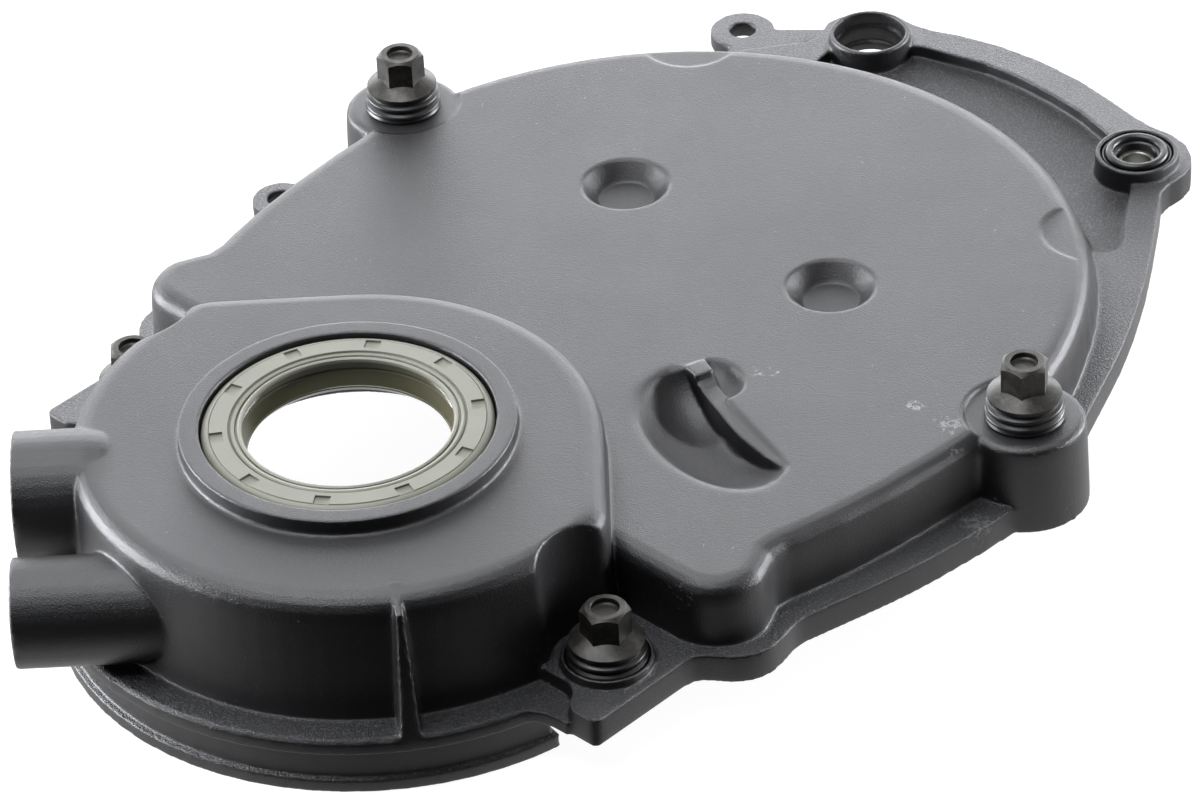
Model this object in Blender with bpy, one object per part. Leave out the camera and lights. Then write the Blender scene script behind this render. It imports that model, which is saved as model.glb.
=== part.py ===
"""Front timing cover of a V engine, with its crank seal, rear gasket and captive bolts.

Metres. It is built about the crankshaft's axis, which is z, and z = 0 is the face that bolts to
the engine block. +z points out of the engine, +y runs up the cover to its cam end, and +x is its
right-hand side as seen from the front. At the end everything moves down by ORIGIN_UP, which puts
the origin on the mounting face, under the cover's top rail.
"""

import math

import bmesh
import bpy
from mathutils import Matrix, Vector

MM = 0.001
GAP = 0.3 * MM  # clearance left between two pieces that touch

ORIGIN_UP = 226.0 * MM  # from the crank axis up to the finished part's origin

# Heights above the mounting face
STRIP_TOP = 3.8 * MM  # ledge around the foot of the seal housing
POCKET_FLOOR = 4.0 * MM  # sunk floor between the top rail and the cover's dome
TAB_TOP = 4.2 * MM
FLANGE_TOP = 7.2 * MM
CUP_TOP = 10.2 * MM  # upper bolt cups
TALL_BOSS_TOP = 22.4 * MM  # side bolt bosses
DOME_TOP = 23.5 * MM
HOUSING_TOP = 35.0 * MM  # seal housing
RING_TOP = 38.7 * MM  # raised ring around the seal
SKIRT_DEPTH = 12.0 * MM  # the half-round oil pan skirt reaches this far behind the face
LIP_THICKNESS = 3.5 * MM

WALL = 3.0 * MM
WALL_DRAFT = 0.4 * MM  # a moulded wall leans in by this much from foot to rim
HOUSING_DRAFT = 1.2 * MM
DOME_FILLET = 4.5 * MM
HOUSING_FILLET = 5.0 * MM

# Dome over the cam sprockets: half an ellipse on two straight sides
DOME_HALF_WIDTH = 99.2 * MM
DOME_ARCH_CENTRE = 101.0 * MM
DOME_ARCH_RISE = 102.3 * MM
DOME_LEAN_START = 150.0 * MM  # above here the dome's wall leans in more and more
DOME_LEAN = 8.6 * MM  # at the very top, from the flange's level up to the dome's face
BULGE_CENTRE = (82.6 * MM, 31.3 * MM)
BULGE_RADIUS = 12.7 * MM
DOME_SIDE = (  # the waist above the bulge, and the side up to the arch
    (93.2 * MM, 37.6 * MM),
    (91.6 * MM, 40.8 * MM),
    (91.8 * MM, 45.0 * MM),
    (93.1 * MM, 50.0 * MM),
    (95.3 * MM, 60.0 * MM),
    (97.4 * MM, 74.0 * MM),
    (98.8 * MM, 90.0 * MM),
)

# Seal housing: a drum with a narrower arch on top
HOUSING_CENTRE = 4.5 * MM
HOUSING_RADIUS = 67.5 * MM
HOUSING_SHOULDER = 8.9 * MM  # the arch is this much smaller in radius than the drum
HOUSING_CORNER = 10.0  # degrees above the drum's centre, where the arch's shoulders start
STRIP_RADIUS = 75.0 * MM
LAND_RADIUS = 71.5 * MM
LIP_RADIUS = 73.1 * MM
SKIRT_END = 11.0  # degrees below the drum's centre

# Crank seal
SEAL_RADIUS = 33.4 * MM
SEAL_DEPTH = 11.0 * MM
SEAL_FACE_INNER = 26.4 * MM
SEAL_LIP_RADIUS = 23.4 * MM
RING_RADIUS = 38.2 * MM
HUB_RADIUS = 37.0 * MM
HUB_BORE = 30.0 * MM
HUB_DEPTH = 14.5 * MM

# Bolts: flanged hex heads on rubber isolators, each with a steel sleeve
LOW_BOLT = (76.0 * MM, 2.7 * MM)
SIDE_BOLT = (99.8 * MM, 115.5 * MM)
TOP_CUP = (38.8 * MM, 228.8 * MM)
EMPTY_CUP = (-47.0 * MM, 227.4 * MM)
BOLT_RADIUS = 3.0 * MM
BOLT_REACH = 7.0 * MM  # thread showing behind the mounting face
HEX_FLATS = 10.0 * MM
HEAD_HEIGHT = 8.7 * MM
HEAD_FLANGE_RADIUS = 8.5 * MM
HEAD_FLANGE_EDGE = 0.6 * MM
HEAD_FLANGE_CONE = 1.7 * MM  # rise of the flange's upper side, up to the hexagon
HEAD_CHAMFER = 1.3 * MM
HEAD_RECESS = 3.1 * MM
STACK_HEIGHT = 5.8 * MM  # from the boss to the underside of the bolt's flange
SLEEVE_BORE = 3.4 * MM
SLEEVE_WALL = 1.2 * MM
ISOLATOR_NECK = 6.7 * MM
ISOLATOR_COLLAR = 9.2 * MM
ISOLATOR_DEPTH = 5.0 * MM  # of the neck below the boss's top, where the boss is tall enough
SEAT_FLOOR = 3.0 * MM  # least thickness under an isolator's neck
TOP_SEAT = 6.0 * MM  # height that the isolator in the upper cup sits at
CUP_WALL = 1.0 * MM
RIM_HEIGHT = 2.4 * MM  # of the raised rim around the lower isolators; the side bosses have none
TALL_BOSS_RADIUS = 14.9 * MM  # at its foot
TALL_BOSS_DRAFT = 0.7 * MM
TALL_BOSS_EDGE = 2.0 * MM
SOCKET_CLEARANCE = 13.9 * MM
LOW_CLEARANCE_FOOT = 13.2 * MM
LOW_CLEARANCE_TOP = 14.9 * MM
TOP_CUP_RADIUS = 10.3 * MM
TOP_CUP_WALL = 1.4 * MM
EMPTY_CUP_STEP = 8.2 * MM
EMPTY_CUP_HOLE = 7.2 * MM
EMPTY_CUP_FLOOR = 2.4 * MM
EMPTY_CUP_LEDGE = 6.4 * MM
TOP_ISOLATOR_CREST = 0.5 * MM  # how far the rubber in the upper cup stands above the cup's rim

# Sensor stubs at the lower left, square to the crank axis
STUB_ANGLE = 225.0  # degrees, the way both stubs point
SENSOR_STUB = (0.0 * MM, 21.5 * MM, 15.0 * MM, 75.8 * MM)  # sideways offset, height, radius, reach
SCREW_STUB = (35.2 * MM, 15.7 * MM, 12.4 * MM, 75.1 * MM)
SENSOR_BORE = 11.0 * MM
INSERT_RADIUS = 4.5 * MM
INSERT_BORE = 2.6 * MM
INSERT_LENGTH = 14.0 * MM
INSERT_RECESS = 0.8 * MM

# Rib below the seal housing: distance from the drum's centre, height and thickness at each corner
RIB_ANGLE = -38.0
RIB_CORNERS = (
    (60.0 * MM, 35.4 * MM, 1.9 * MM),
    (68.8 * MM, 32.8 * MM, 1.9 * MM),
    (74.8 * MM, 3.4 * MM, 4.8 * MM),
    (60.0 * MM, 2.6 * MM, 4.8 * MM),
)

# Marks in the dome's face
DIMPLE = (33.0 * MM, 124.3 * MM)
DIMPLE_RADIUS = 10.7 * MM
DIMPLE_FLOOR = 6.8 * MM
DIMPLE_DEPTH = 4.2 * MM
RIM_SCALLOP = (65.0 * MM, 181.0 * MM)
RIM_SCALLOP_RADIUS = 12.3 * MM
RIM_SCALLOP_DEPTH = 0.7 * MM
GATE_BOWL = (  # plan outline of the bowl, with the softer hollow beyond the runner
    (28.4 * MM, 76.4 * MM),
    (29.3 * MM, 68.9 * MM),
    (31.4 * MM, 62.6 * MM),
    (35.6 * MM, 57.6 * MM),
    (42.6 * MM, 52.6 * MM),
    (50.6 * MM, 49.4 * MM),
    (58.2 * MM, 48.4 * MM),
    (65.3 * MM, 50.0 * MM),
    (71.4 * MM, 54.2 * MM),
    (75.2 * MM, 59.4 * MM),
    (76.0 * MM, 64.8 * MM),
    (66.0 * MM, 69.6 * MM),
    (56.0 * MM, 73.6 * MM),
    (47.6 * MM, 77.6 * MM),
    (43.0 * MM, 81.8 * MM),
    (38.4 * MM, 85.0 * MM),
    (33.0 * MM, 85.4 * MM),
    (29.4 * MM, 82.0 * MM),
)
GATE_DEEPEST = ((36.5 * MM, 69.5 * MM), (61.0 * MM, 62.0 * MM))
GATE_DEPTH = 8.0 * MM
RUNNER = (  # middle of the runner: x, y, how far its top lies below the face, and half its width
    (30.2 * MM, 80.6 * MM, 0.2 * MM, 2.4 * MM),
    (35.4 * MM, 76.8 * MM, -0.4 * MM, 2.4 * MM),
    (36.4 * MM, 76.0 * MM, 1.8 * MM, 2.2 * MM),
    (44.0 * MM, 73.0 * MM, 2.0 * MM, 1.5 * MM),
    (56.0 * MM, 68.4 * MM, 2.6 * MM, 1.1 * MM),
    (68.0 * MM, 65.6 * MM, 1.9 * MM, 0.9 * MM),
    (76.6 * MM, 64.6 * MM, 0.3 * MM, 0.6 * MM),
)

# Fixing tabs, on the left only: centre of the tip, the two ends of the root, and radius
TOP_TAB = (-78.7 * MM, 214.4 * MM)
TOP_TAB_ROOT = ((-59.0 * MM, 231.4 * MM), (-70.6 * MM, 193.0 * MM))
TOP_TAB_RADIUS = 8.3 * MM
SIDE_TAB = (-114.0 * MM, 85.6 * MM)
SIDE_TAB_ROOT = ((-100.0 * MM, 96.0 * MM), (-100.0 * MM, 74.0 * MM))
SIDE_TAB_RADIUS = 7.2 * MM
TAB_HOLE = 3.3 * MM

# Rear gasket
GASKET_WIDTH = 2.6 * MM
GROOVE_DEPTH = 2.2 * MM

LEFT, RIGHT = -1, 1


def clear_scene():
    for item in list(bpy.data.objects):
        bpy.data.objects.remove(item, do_unlink=True)


def finish_material(name, colour, roughness, metallic=0.0):
    """A Principled material with the piece's own colour, as red, green and blue from 0 to 1."""
    material = bpy.data.materials.new(name)
    material.use_nodes = True
    shader = material.node_tree.nodes["Principled BSDF"]
    shader.inputs["Base Color"].default_value = (*colour, 1.0)
    shader.inputs["Roughness"].default_value = roughness
    shader.inputs["Metallic"].default_value = metallic
    material.diffuse_color = (*colour, 1.0)
    return material


# Plane outlines, as lists of (x, y) points that run anticlockwise


def arc(centre, radius, start, end, count):
    """Points on an arc from one angle to another, in degrees."""
    angles = [math.radians(start + (end - start) * i / count) for i in range(count + 1)]
    return [(centre[0] + radius * math.cos(a), centre[1] + radius * math.sin(a)) for a in angles]


def curve_through(points, count=4):
    """A smooth open curve through the points, with this many pieces between each two."""
    padded = [points[0], *points, points[-1]]
    curve = []
    for before, start, end, after in zip(padded, padded[1:], padded[2:], padded[3:]):
        for i in range(count):
            t = i / count
            weights = (
                -0.5 * t + t**2 - 0.5 * t**3,
                1 - 2.5 * t**2 + 1.5 * t**3,
                0.5 * t + 2 * t**2 - 1.5 * t**3,
                -0.5 * t**2 + 0.5 * t**3,
            )
            corners = (before, start, end, after)
            curve.append(tuple(sum(w * p[k] for w, p in zip(weights, corners)) for k in (0, 1)))
    return [*curve, points[-1]]


def both_sides(right):
    """A closed outline from its right half, which runs from the bottom up to the top."""
    left = [(-x, y) for x, y in reversed(right) if x > 0.1 * MM]
    return [*right, *left]


def shifted(outline, distances):
    """The closed outline moved outwards, or inwards where the distance is negative.

    There is one distance for all, or one for each point.
    """
    if isinstance(distances, float):
        distances = [distances] * len(outline)
    moved = []
    neighbours = zip([outline[-1], *outline], outline, [*outline[1:], outline[0]])
    for (before, point, after), distance in zip(neighbours, distances):
        first = (Vector(point) - Vector(before)).normalized()
        second = (Vector(after) - Vector(point)).normalized()
        along = (first + second).normalized()
        stretch = 1 / max(along.dot(first), 0.5)
        moved.append((point[0] + along.y * distance * stretch, point[1] - along.x * distance * stretch))
    return moved


def dome_outline():
    """The dome's outline, from the seal housing out around the bulge and up to the top, on both sides."""
    foot = (0.8 * HOUSING_RADIUS, BULGE_CENTRE[1] - BULGE_RADIUS)
    bulge = arc(BULGE_CENTRE, BULGE_RADIUS, -90, 8, 11)
    arch = [
        (DOME_HALF_WIDTH * math.cos(a), DOME_ARCH_CENTRE + DOME_ARCH_RISE * math.sin(a))
        for a in (math.radians(4.5 * i) for i in range(21))
    ]
    return both_sides([foot, *bulge, *DOME_SIDE, *arch])


def dome_rings(profile):
    """The dome's levels; toward its top the wall leans in from a foot that lies farther out."""
    span = DOME_ARCH_CENTRE + DOME_ARCH_RISE - DOME_LEAN_START
    outline = dome_outline()
    leans = [DOME_LEAN * max(0.0, (y - DOME_LEAN_START) / span) ** 1.5 for _, y in outline]
    rings = []
    for inset, z in profile:
        share = (DOME_TOP - z) / (DOME_TOP - FLANGE_TOP)
        moved = shifted(outline, [lean * share - inset for lean in leans])
        rings.append([(x, y, z) for x, y in moved])
    return rings


def housing_outline():
    centre = (0.0, HOUSING_CENTRE)
    bottom = arc(centre, HOUSING_RADIUS, -90, HOUSING_CORNER, 24)
    corner = Vector(bottom[-1])
    arch_radius = HOUSING_RADIUS - HOUSING_SHOULDER
    tangent = math.degrees(math.atan2(corner.y, corner.x) + math.acos(arch_radius / corner.length))
    arch = arc((0.0, 0.0), arch_radius, tangent, 90, 10)
    start = Vector(arch[0])
    eased = [tuple(corner.lerp(start, t)) for t in (0.08, 0.2)]
    bottom[-1] = tuple(corner.lerp(Vector(bottom[-2]), 0.35))
    return both_sides([*bottom, *eased, *arch])


def flange_side():
    """The flange's edge from the oil pan corner up to its shoulder, the same on both sides."""
    rail = 15.0 * MM
    edge = 89.0 * MM
    heel = [(60.0 * MM, -8.6 * MM), (74.0 * MM, -8.4 * MM), (77.2 * MM, -9.8 * MM), (79.2 * MM, -13.2 * MM)]
    corner = [(81.6 * MM, -rail), (edge - 1.2 * MM, -rail), (edge, 1.2 * MM - rail)]
    lower = [(89.0, 12.0), (89.3, 15.8), (91.6, 18.5), (95.6, 21.1), (98.8, 24.9), (100.1, 29.6)]
    waist = [(99.3, 35.4), (98.3, 40.2), (99.2, 45.6), (102.0, 57.6), (104.8, 71.0)]
    side = [(106.6, 86.0), (107.6, 103.0), (104.0, 124.0), (97.6, 139.6), (92.4, 152.0), (86.8, 165.0)]
    shoulder = [(80.4, 177.8), (72.6, 191.5)]
    edge_points = [(x * MM, y * MM) for x, y in (*lower, *waist, *side, *shoulder)]
    return [*heel, *corner, *curve_through(edge_points, 2)]


def flange_outline():
    """The flange around the cover. Its top rail and the lobes for the top cups differ left and right."""
    right_lobe = [(65.6, 202.4), (55.2, 217.8), (52.0, 222.2), (51.2, 226.2), (51.6, 230.6), (50.4, 235.4)]
    right_lobe += [(47.6, 239.2), (43.4, 242.2), (38.0, 243.4), (31.6, 243.0), (26.0, 243.6)]
    rail = [(16.5, 245.6), (4.6, 247.6), (-8.6, 248.1), (-20.5, 247.0), (-31.5, 244.3), (-38.4, 241.6)]
    left_lobe = [(-43.6, 240.6), (-50.0, 240.8), (-56.2, 237.6), (-60.4, 232.2), (-61.3, 227.5), (-59.0, 221.6)]
    left_lobe += [(-59.4, 217.4), (-64.0, 211.6), (-69.0, 204.6)]
    top = [(x * MM, y * MM) for x, y in (*right_lobe, *rail, *left_lobe)]
    right = flange_side()
    return [*right, *top, *[(-x, y) for x, y in reversed(right)]]


# Solids


def new_object(name, mesh_builder, material=None):
    mesh = bpy.data.meshes.new(name)
    mesh_builder.to_mesh(mesh)
    mesh_builder.free()
    item = bpy.data.objects.new(name, mesh)
    bpy.context.scene.collection.objects.link(item)
    if material:
        mesh.materials.append(material)
    return item


def loft(name, rings, material=None):
    """A closed solid through rings of 3-D points that all have the same number of points."""
    shape = bmesh.new()
    loops = [[shape.verts.new(point) for point in ring] for ring in rings]
    for lower, upper in zip(loops, loops[1:]):
        for i, point in enumerate(lower):
            j = (i + 1) % len(lower)
            shape.faces.new((point, lower[j], upper[j], upper[i]))
    shape.faces.new(reversed(loops[0]))
    shape.faces.new(loops[-1])
    bmesh.ops.recalc_face_normals(shape, faces=shape.faces)
    return new_object(name, shape, material)


def raised(name, outline, profile):
    """A solid over an outline; the profile lists how far in each level lies and its height."""
    rings = [[(x, y, z) for x, y in shifted(outline, -inset)] for inset, z in profile]
    return loft(name, rings)


def prism(name, outline, bottom, top):
    return raised(name, outline, [(0.0, bottom), (0.0, top)])


def turned(name, profile, segments, material=None):
    """A solid of revolution about z from a closed profile of (radius, height) points."""
    shape = bmesh.new()
    points = [shape.verts.new((radius, 0.0, height)) for radius, height in profile]
    edges = [shape.edges.new(pair) for pair in zip(points, [*points[1:], points[0]])]
    edges = [edge for edge in edges if max(abs(v.co.x) for v in edge.verts) > 0]
    bmesh.ops.spin(
        shape, geom=[*points, *edges], axis=(0, 0, 1), cent=(0, 0, 0), angle=math.tau, steps=segments, use_merge=True
    )
    bmesh.ops.remove_doubles(shape, verts=shape.verts, dist=0.001 * MM)
    loose = [edge for edge in shape.edges if not edge.link_faces]
    bmesh.ops.delete(shape, geom=loose, context="EDGES")
    bmesh.ops.recalc_face_normals(shape, faces=shape.faces)
    return new_object(name, shape, material)


def disc(name, centre, profile, segments=28):
    """A turned solid that stands at a plan position; the profile runs up its side."""
    closed = [(0.0, profile[0][1]), *profile, (0.0, profile[-1][1])]
    item = turned(name, closed, segments)
    item.data.transform(Matrix.Translation((centre[0], centre[1], 0.0)))
    return item


def lying_disc(name, stub, profile, segments=40):
    """A turned solid along the stubs' direction; its profile's heights run out from the crank axis."""
    offset, height = stub[:2]
    item = disc(name, (0.0, 0.0), profile, segments)
    item.data.transform(stub_matrix(offset, height))
    return item


def lying_cylinder(name, stub, radius, start, end, segments=40):
    return lying_disc(name, stub, [(radius, start), (radius, end)], segments)


def stub_matrix(offset, height):
    """Turns z to the way that the stubs point, at a sideways offset and a height."""
    angle = math.radians(STUB_ANGLE)
    along = Vector((math.cos(angle), math.sin(angle), 0.0))
    aside = Vector((0, 0, 1)).cross(along)
    place = aside * offset + Vector((0, 0, height))
    turn = Matrix((aside, (0, 0, 1), along)).transposed().to_4x4()
    return Matrix.Translation(place) @ turn


def combine(body, tool, operation):
    """Adds the tool to the body, or cuts it away, and removes the tool."""
    modifier = body.modifiers.new(tool.name, "BOOLEAN")
    modifier.operation = operation
    modifier.solver = "MANIFOLD"  # the exact solver leaves open edges where walls run almost flush
    modifier.object = tool
    with bpy.context.temp_override(object=body, active_object=body, selected_objects=[body]):
        bpy.ops.object.modifier_apply(modifier=modifier.name)
    bpy.data.objects.remove(tool, do_unlink=True)


def add(body, *tools):
    for tool in tools:
        combine(body, tool, "UNION")


def cut(body, *tools):
    for tool in tools:
        combine(body, tool, "DIFFERENCE")


def shade(item, degrees=35):
    item.data.shade_smooth()
    item.data.set_sharp_from_angle(angle=math.radians(degrees))


def mirrored_place(place, side):
    return (place[0] * side, place[1])


def rim_profile(foot, top, draft, fillet, wall=0.0, steps=4):
    """Leaning wall and rounded rim of a raised form, moved in by a wall thickness."""
    rim = top - wall
    inner = max(fillet - wall, 0.8 * MM)
    levels = [(wall, foot)]
    for step in range(steps + 1):
        angle = math.radians(90 * step / steps)
        levels.append((wall + draft + inner * (1 - math.cos(angle)), rim - inner * (1 - math.sin(angle))))
    return levels


# The moulded cover


def flange_plate():
    plate = prism("flange", flange_outline(), 0.0, FLANGE_TOP)
    add(plate, tab_solid("top_tab", TOP_TAB, TOP_TAB_RADIUS, TOP_TAB_ROOT))
    add(plate, tab_solid("side_tab", SIDE_TAB, SIDE_TAB_RADIUS, SIDE_TAB_ROOT))
    cut(plate, prism("pocket", pocket_outline(), POCKET_FLOOR, FLANGE_TOP + MM))
    return plate


def tab_solid(name, tip, radius, root):
    """A flat ear from the two ends of its root, inside the flange, to a rounded tip."""
    starts = []
    for end, side in zip(root, (-1, 1)):
        reach = Vector(tip) - Vector(end)
        lean = math.degrees(math.asin(radius / reach.length))
        starts.append(math.degrees(math.atan2(reach.y, reach.x)) + side * (lean - 90))
    first, last = starts[1] % 360, starts[0] % 360
    if last < first:
        last += 360
    return prism(name, [*arc(tip, radius, first, last, 12), *reversed(root)], 0.0, TAB_TOP)


def pocket_outline():
    """Sunk floor behind the top rail; its right-hand end is rounded, and the dome covers its front."""
    right = [(40.0, 190.0), (55.0, 192.3), (57.8, 193.6), (59.2, 196.4), (58.4, 199.6), (51.6, 209.2)]
    rail = [(45.4, 218.2), (40.0, 228.0), (24.0, 233.8), (14.2, 236.7), (3.6, 238.2), (-8.0, 238.9)]
    left = [(-18.0, 238.2), (-35.7, 233.8), (-42.0, 229.0), (-55.0, 224.0), (-52.0, 219.0), (-48.0, 190.0)]
    return [(x * MM, y * MM) for x, y in (*right, *rail, *left)]


def ring_sector(name, inner, outer, bottom, top, end_angle):
    """Part of a ring about the drum's centre, below the two end angles."""
    centre = (0.0, HOUSING_CENTRE)
    outside = arc(centre, outer, -180 + end_angle, -end_angle, 28)
    inside = arc(centre, inner, -end_angle, -180 + end_angle, 28)
    return prism(name, [*outside, *inside], bottom, top)


def bevelled_strip():
    """The ledge around the drum's foot, with its upper edge rounded."""
    edge = 0.8 * MM
    full = ring_sector("strip", HOUSING_RADIUS - 6 * MM, STRIP_RADIUS, 0.0, STRIP_TOP - edge, SKIRT_END)
    lower = ring_sector(
        "strip_edge", HOUSING_RADIUS - 6.4 * MM, STRIP_RADIUS - edge, 0.4 * MM, STRIP_TOP, SKIRT_END + 0.6
    )
    add(full, lower)
    return full


def outer_form():
    """Everything that stands out of the flange, before the cover is hollowed."""
    form = flange_plate()
    for place in (TOP_CUP, EMPTY_CUP):
        radius = TOP_CUP_RADIUS
        add(form, disc("cup", place, [(radius, MM), (radius, CUP_TOP - 0.5 * MM), (radius - 0.5 * MM, CUP_TOP)], 32))
    dome_levels = rim_profile(POCKET_FLOOR - MM, DOME_TOP, WALL_DRAFT, DOME_FILLET)
    add(form, loft("dome", dome_rings(dome_levels)))
    for side in (RIGHT, LEFT):
        place = mirrored_place(SIDE_BOLT, side)
        clearance = [(SOCKET_CLEARANCE, TALL_BOSS_TOP), (SOCKET_CLEARANCE, RING_TOP)]
        cut(form, disc("socket_clearance", place, clearance))
        add(form, disc("tall_boss", place, boss_profile(), 40))
    housing_levels = rim_profile(0.6 * MM, HOUSING_TOP, HOUSING_DRAFT, HOUSING_FILLET)
    add(form, raised("housing", housing_outline(), housing_levels))
    add(form, bevelled_strip())
    for side in (RIGHT, LEFT):
        outline = [mirrored_place(point, side) for point in strip_toe()]
        add(form, prism("strip_toe", outline[::side], 0.2 * MM, STRIP_TOP - 0.1 * MM))
    inner = HOUSING_RADIUS - 6 * MM
    add(form, ring_sector("land", inner, LAND_RADIUS, -SKIRT_DEPTH + 0.2 * MM, STRIP_TOP - 2 * MM, SKIRT_END + 0.3))
    add(form, ring_sector("lip", inner + MM, LIP_RADIUS, -SKIRT_DEPTH, LIP_THICKNESS - SKIRT_DEPTH, SKIRT_END - 0.5))
    add(form, disc("ring", (0.0, 0.0), [(RING_RADIUS, HOUSING_TOP - MM), (RING_RADIUS, RING_TOP)], 56))
    return form


def boss_profile():
    """Side of a side bolt's boss: a slight draft and a rounded upper edge."""
    upper = TALL_BOSS_RADIUS - TALL_BOSS_DRAFT
    profile = [(TALL_BOSS_RADIUS, 0.0)]
    for angle in (0, 30, 60, 90):
        inset = TALL_BOSS_EDGE * (1 - math.cos(math.radians(angle)))
        drop = TALL_BOSS_EDGE * (1 - math.sin(math.radians(angle)))
        profile.append((upper - inset, TALL_BOSS_TOP - drop))
    return profile


def strip_toe():
    """Right-hand end of the ledge, where it curves out into the flange's lower edge."""
    inside = [(66.0 * MM, -14.0 * MM), (69.0 * MM, -21.5 * MM), (71.2 * MM, -18.6 * MM), (73.4 * MM, -17.0 * MM)]
    outside = [(77.0 * MM, -16.0 * MM), (81.2 * MM, -16.0 * MM), (83.0 * MM, -9.0 * MM), (66.0 * MM, -7.0 * MM)]
    return [*inside, *outside]


def low_clearances(form):
    """Room for a socket beside each lower bolt, cut as a cone from the dome and the seal housing."""
    cone = [(LOW_CLEARANCE_FOOT, FLANGE_TOP), (LOW_CLEARANCE_TOP, RING_TOP)]
    for side in (RIGHT, LEFT):
        cut(form, disc("low_clearance", mirrored_place(LOW_BOLT, side), cone, 32))


def hollow(form):
    """Cuts the chain space out of the back, open at the mounting face."""
    dome_levels = rim_profile(FLANGE_TOP, DOME_TOP, WALL_DRAFT, DOME_FILLET, WALL, 2)
    straight = [(x, y, -MM) for x, y, _ in dome_rings(dome_levels)[0]]
    cavity = loft("dome_cavity", [straight, *dome_rings(dome_levels)])
    below_lip = -SKIRT_DEPTH - MM
    drum_levels = rim_profile(below_lip, HOUSING_TOP, HOUSING_DRAFT, HOUSING_FILLET, WALL, 2)
    add(cavity, raised("drum_cavity", housing_outline(), drum_levels))
    for side in (RIGHT, LEFT):
        keep = [(LOW_CLEARANCE_FOOT + WALL, -20 * MM), (LOW_CLEARANCE_TOP + WALL, RING_TOP)]
        boss_wall = TALL_BOSS_RADIUS - 2 * MM
        boss = [(boss_wall, -5 * MM), (boss_wall, RING_TOP)]
        cut(cavity, disc("kept_wall", mirrored_place(LOW_BOLT, side), keep, 24))
        cut(cavity, disc("kept_boss", mirrored_place(SIDE_BOLT, side), boss))
    cut(form, cavity)


def bolt_seats(form):
    """Raised rims and stepped holes for the isolators and sleeves."""
    sleeve_hole = SLEEVE_BORE + SLEEVE_WALL + GAP
    neck_hole = ISOLATOR_NECK + GAP
    collar_hole = ISOLATOR_COLLAR + GAP
    for place, top, rim in isolator_seats():
        ledge = neck_bottom(top) - GAP
        steps = [(sleeve_hole, -MM), (sleeve_hole, ledge), (neck_hole, ledge)]
        if rim:
            rim_radius = collar_hole + CUP_WALL
            add(form, disc("rim", place, [(rim_radius, top - MM), (rim_radius, top + rim)], 28))
            steps += [(neck_hole, top), (collar_hole, top), (collar_hole, top + rim + MM)]
        else:
            steps += [(neck_hole, top + MM)]
        cut(form, disc("seat", place, steps, 20))
    inner = TOP_CUP_RADIUS - TOP_CUP_WALL
    steps = [(sleeve_hole, -MM), (sleeve_hole, SEAT_FLOOR - GAP), (neck_hole, SEAT_FLOOR - GAP)]
    steps += [(neck_hole, TOP_SEAT), (inner, TOP_SEAT), (inner, CUP_TOP + MM)]
    cut(form, disc("top_seat", TOP_CUP, steps, 28))
    steps = [(EMPTY_CUP_HOLE, -MM), (EMPTY_CUP_HOLE, EMPTY_CUP_FLOOR), (EMPTY_CUP_STEP, EMPTY_CUP_FLOOR)]
    steps += [(EMPTY_CUP_STEP, EMPTY_CUP_LEDGE), (inner, EMPTY_CUP_LEDGE + 0.6 * MM), (inner, CUP_TOP + MM)]
    cut(form, disc("empty_cup_bore", EMPTY_CUP, steps, 32))


def neck_bottom(boss_top):
    return max(boss_top - ISOLATOR_DEPTH, SEAT_FLOOR)


def isolator_seats():
    """Place, boss height and rim height of each hole that holds a bolt's isolator."""
    low = [(mirrored_place(LOW_BOLT, side), FLANGE_TOP, RIM_HEIGHT) for side in (RIGHT, LEFT)]
    high = [(mirrored_place(SIDE_BOLT, side), TALL_BOSS_TOP, 0.0) for side in (RIGHT, LEFT)]
    return [*low, *high]


def sensor_stubs(form):
    """Two round stubs: the near one takes the sensor's screw, the other is bored for the sensor."""
    radius = SENSOR_STUB[2]
    centre = HOUSING_RADIUS - 8 * MM  # of the stub's ball-shaped inner end
    ball = [(radius * math.cos(a), centre - radius * math.sin(a)) for a in map(math.radians, (60, 36, 16, 0))]
    add(form, lying_disc("sensor_stub", SENSOR_STUB, [*ball, (radius, SENSOR_STUB[3])]))
    inside = math.sqrt(HOUSING_RADIUS**2 - SCREW_STUB[0] ** 2) - 17 * MM
    add(form, lying_cylinder("screw_stub", SCREW_STUB, SCREW_STUB[2], inside, SCREW_STUB[3]))


def stub_bores(form):
    inside = HOUSING_RADIUS - 20 * MM
    cut(form, lying_cylinder("sensor_bore", SENSOR_STUB, SENSOR_BORE, inside, SENSOR_STUB[3] + MM, 28))
    depth = SCREW_STUB[3] - INSERT_LENGTH - 2 * MM
    cut(form, lying_cylinder("insert_hole", SCREW_STUB, INSERT_RADIUS + GAP, depth, SCREW_STUB[3] + MM, 16))


def rib():
    """The tapered rib that stiffens the seal housing's lower right side."""
    angle = math.radians(RIB_ANGLE)
    along = Vector((math.cos(angle), math.sin(angle), 0.0))
    aside = Vector((-along.y, along.x, 0.0))
    rings = []
    for side in (RIGHT, LEFT):
        ring = []
        for reach, height, thickness in RIB_CORNERS:
            point = Vector((0.0, HOUSING_CENTRE, height)) + along * reach + aside * side * thickness / 2
            ring.append(tuple(point))
        rings.append(ring)
    return loft("rib", rings)


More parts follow.
